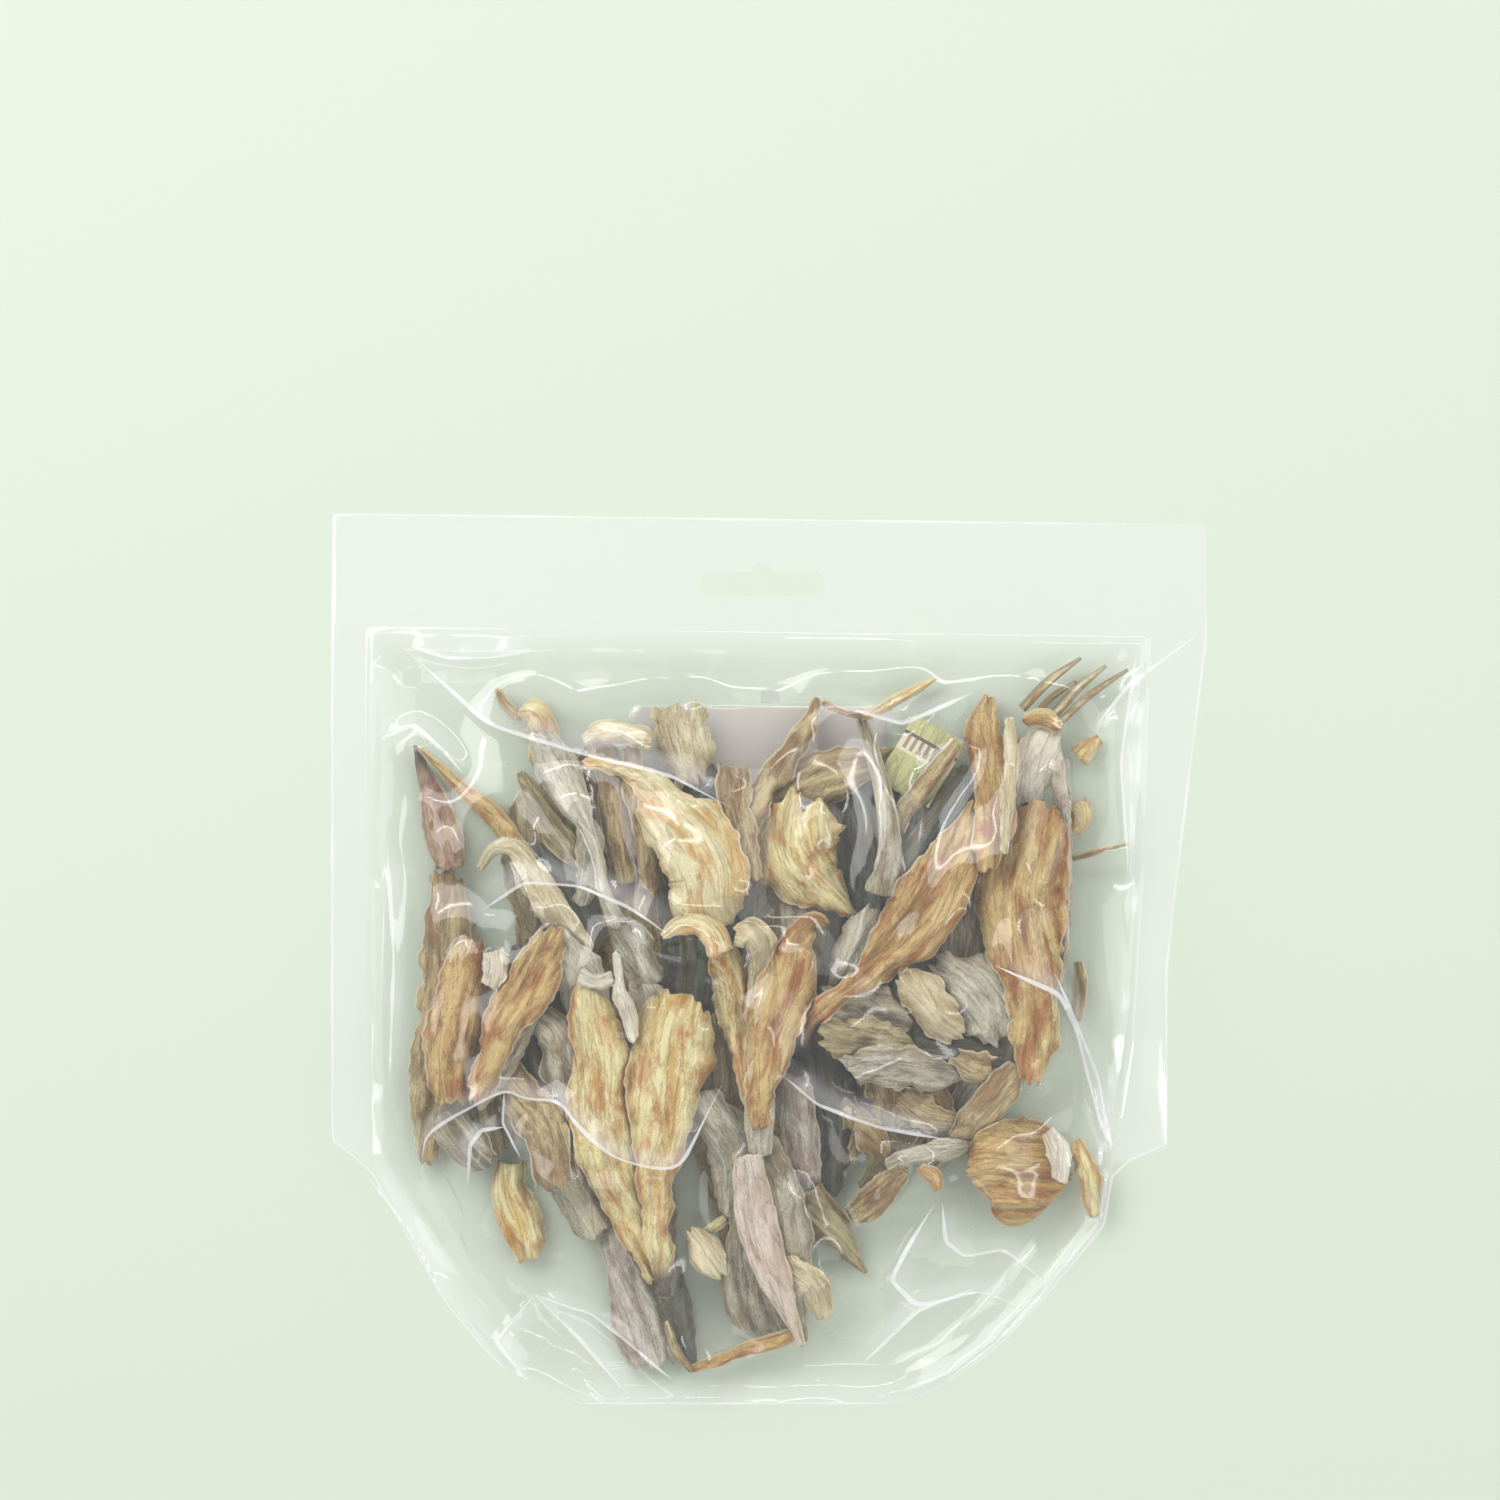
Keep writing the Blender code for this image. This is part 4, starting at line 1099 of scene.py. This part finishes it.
def cutter_object(bm, offset):
    bmesh.ops.translate(bm, vec=offset, verts=bm.verts)
    bmesh.ops.scale(bm, vec=(MM, MM, MM), verts=bm.verts)
    bmesh.ops.recalc_face_normals(bm, faces=bm.faces)
    return new_object("slot_cutter", bm)


def cut_away(item, cutter):
    """Takes the cutter's space out of the item and removes the cutter."""
    hole = item.modifiers.new("hole", "BOOLEAN")
    hole.operation = "DIFFERENCE"
    hole.solver = "EXACT"
    hole.object = cutter
    with bpy.context.temp_override(object=item):
        bpy.ops.object.modifier_apply(modifier=hole.name)
    bpy.data.objects.remove(cutter, do_unlink=True)


def film_object():
    x, y, free, seal = film_net(FINE)
    edge = np.ones_like(free)
    edge[1:-1, 1:-1] = False
    ripple = 0.25 * soft_noise(x / 26.0, y / 40.0, 31) * ~free
    apart = WELD_PLY * ~edge
    upper, lower = net.copy(), np.stack([x, y, seal + ripple - apart], -1)
    upper[..., 2] += np.where(free, 0.0, ripple + apart)
    wrinkle = 0.35 * np.maximum(ridges(x / 23.0, y / 23.0, 41), 0.0)
    foot = np.minimum(look_up(bag_foot, x, y) + wrinkle, net[..., 2] - 0.2)
    lower[..., 2] = np.where(free, foot, lower[..., 2])
    bm = grid_from(upper, FINE, True)
    under = grid_from(lower, FINE, False)
    carrier = bpy.data.meshes.new("carrier")
    under.to_mesh(carrier)
    under.free()
    bm.from_mesh(carrier)
    bpy.data.meshes.remove(carrier)
    bmesh.ops.remove_doubles(bm, verts=bm.verts, dist=1e-6)
    return new_object("film", bm)


film = film_object()
for cutter in (slot_cutter(), hump_cutter()):
    cut_away(film, cutter_object(cutter, (*SLOT_CENTRE, -5.0)))
print("film faces", len(film.data.polygons))

# %% [markdown]
# The sharp edge of a fold is film bent double, and the welded rim is the bag's edge. Along
# each lies a narrow ribbon of film on the bag's surface, painted pale as a thin glint.

# %% Fold edges
FOLD_RIBBON = (0.8, 0.42)  # width and painted glint
RIM_RIBBON = (0.5, 0.35)
RIBBON_LIFT = 0.15
film_top = np.full((SPAN * 2 + 1, SPAN * 2 + 1), -1.0)
cells = np.clip(np.rint(net[..., :2] + SPAN).astype(int), 0, SPAN * 2)
np.maximum.at(film_top, (cells[..., 1], cells[..., 0]), net[..., 2])
film_top = np.where(film_top < 0, widest(film_top, 1), film_top)


def add_ribbon(bm, points, wide, glint):
    """A narrow strip of film along points on the bag, tapered to both its ends, with a painted glint."""
    heading = np.gradient(points[:, :2], axis=0)
    heading /= np.maximum(np.linalg.norm(heading, axis=1), 1e-6)[:, None]
    taper = np.clip(np.minimum(np.arange(len(points)), np.arange(len(points))[::-1]) / 9, 0.1, 1)
    uneven = 1 + 0.6 * soft_noise(points[:, 0] / 9, points[:, 1] / 9, 71)
    side = np.column_stack([-heading[:, 1], heading[:, 0], 0 * taper]) * (wide / 2 * taper * uneven)[:, None]
    made = bmesh.ops.create_grid(bm, x_segments=len(points) - 1, y_segments=1, size=1.0)["verts"]
    layer = bm.verts.layers.float["painted_glint"]
    for vert in made:
        k = round((vert.co.x + 1) / 2 * (len(points) - 1))
        vert.co = (points[k] + side[k] * round(vert.co.y)) * MM
        vert[layer] = glint * (0.55 + 0.45 * uneven[k])


bm = bmesh.new()
bm.verts.layers.float.new("painted_glint")
bm.verts.layers.float.new("pouch")
for curve in edge_lines:
    lifted = look_up(film_top, curve[:, 0], curve[:, 1]) + RIBBON_LIFT
    add_ribbon(bm, np.column_stack([curve, lifted]), *FOLD_RIBBON)
for rim in (net[:, 0], net[:, -1], net[0], net[-1]):
    add_ribbon(bm, rim[::4] + (0, 0, RIBBON_LIFT), *RIM_RIBBON)
film_glint_strips = new_object("film_glint_strips", bm)

# %% Film material
FILM_ROUGHNESS = 0.08
FILM_SHINE = 0.055  # share of shine seen from straight above
SLANT_SHINE = 0.8  # and how much more there is seen from low down


def clear_film():
    """Thin clear film: mostly see-through, with a sharp shine, a painted glint where it is
    creased, and a darker tint through the pouch as painted shade.
    """
    material, tree, shader = new_material("clear_film")
    tree.nodes.remove(shader)
    layer = {}
    for name in ("painted_glint", "pouch"):
        layer[name] = add_node(tree, "ShaderNodeAttribute", attribute_name=name).outputs["Fac"]
    # a darker tint over the pouch than the welds: painted shade for the film's missing shadow
    pouch_shade_tint = blend_colours(tree, layer["pouch"], tone(0.998, 0.998, 1.0), tone(0.96, 0.963, 0.96))
    clear = add_node(tree, "ShaderNodeBsdfTransparent", {0: pouch_shade_tint}).outputs[0]
    shine = add_node(tree, "ShaderNodeBsdfGlossy", {0: (1, 1, 1, 1), "Roughness": FILM_ROUGHNESS}).outputs[0]
    haze_and_glint = add_node(tree, "ShaderNodeBsdfDiffuse", {0: tone(0.97, 0.97, 0.98)}).outputs[0]
    slant = add_node(tree, "ShaderNodeLayerWeight", {"Blend": 0.5}).outputs["Facing"]
    share = compute(tree, "MULTIPLY_ADD", compute(tree, "POWER", slant, 5.0), SLANT_SHINE, FILM_SHINE)
    misty = remap(tree, layer["pouch"], 0.0, 0.5, 0.12, 0.025)
    # the haze share carries the painted glint of the creases as well as the film's own haze
    haze_and_glint_share = compute(tree, "ADD", layer["painted_glint"], misty)
    milky_and_glint = add_node(tree, "ShaderNodeMixShader", {0: haze_and_glint_share, 1: clear, 2: haze_and_glint}).outputs[0]
    both = add_node(tree, "ShaderNodeMixShader", {0: share, 1: milky_and_glint, 2: shine}).outputs[0]
    tree.links.new(both, tree.nodes["Material Output"].inputs["Surface"])
    return material


film_look = clear_film()
for item in (film, film_glint_strips):
    item.data.materials.append(film_look)
    item.data.shade_smooth()
    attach(item, BODY)
    item.visible_shadow = False  # film this thin throws no shadow worth its noise
    item.visible_diffuse = False
film.data.set_sharp_from_angle(angle=math.radians(50))
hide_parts("bag")

# %% The label on the back
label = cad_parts["back_label"]
label.data.materials.clear()
label.data.materials.append(plain_look("label_paper", (0.84, 0.81, 0.79), 0.6))

# %% [markdown]
# ## Floor, light and camera
# A pale floor and a bright even surround light the bag softly. Three broad lamps give the
# shading, and three narrow ones make the streaks on the film's creases.

# %% Floor
bm = bmesh.new()
bmesh.ops.create_grid(bm, x_segments=1, y_segments=1, size=1.6)
floor = new_object("floor", bm)
floor.data.materials.append(plain_look("plate", (0.83, 0.875, 0.805), 0.7))

# %% Light
SURROUND = 0.61
world = bpy.data.worlds.new("surround")
world.use_nodes = True
background = world.node_tree.nodes["Background"]
background.inputs["Color"].default_value = (1.0, 1.0, 1.0, 1.0)
background.inputs["Strength"].default_value = SURROUND
bpy.context.scene.world = world
LAMPS = [  # place, width, height and power
    ((-0.75, 0.65, 1.15), 1.2, 0.8, 9.6),
    ((0.9, 0.3, 0.9), 1.0, 0.8, 3.0),
    ((-0.3, -0.9, 1.0), 0.45, 0.3, 0.8),
    ((-0.5, 0.8, 1.1), 0.9, 0.06, 1.6),
    ((0.3, 0.85, 1.1), 0.7, 0.07, 1.2),
    ((0.75, -0.2, 1.1), 0.06, 0.7, 0.8),
]
for place, wide, high, power in LAMPS:
    lamp = bpy.data.lights.new("lamp", "AREA")
    lamp.shape = "RECTANGLE"
    lamp.size = wide
    lamp.size_y = high
    lamp.energy = power
    item = bpy.data.objects.new("lamp", lamp)
    item.location = place
    item.rotation_euler = Vector(place).to_track_quat("Z", "Y").to_euler()
    bpy.context.scene.collection.objects.link(item)

# %% Camera
CAMERA_HEIGHT = 1.15
VIEW_WIDTH = 0.387
SENSOR = 36.0
camera_data = bpy.data.cameras.new("camera")
camera_data.sensor_width = SENSOR
camera_data.lens = SENSOR * CAMERA_HEIGHT / VIEW_WIDTH
camera = bpy.data.objects.new("camera", camera_data)
camera.location = (-0.0049, 0.0534, CAMERA_HEIGHT)
bpy.context.scene.collection.objects.link(camera)
bpy.context.scene.camera = camera
bpy.context.scene.view_settings.view_transform = "Standard"
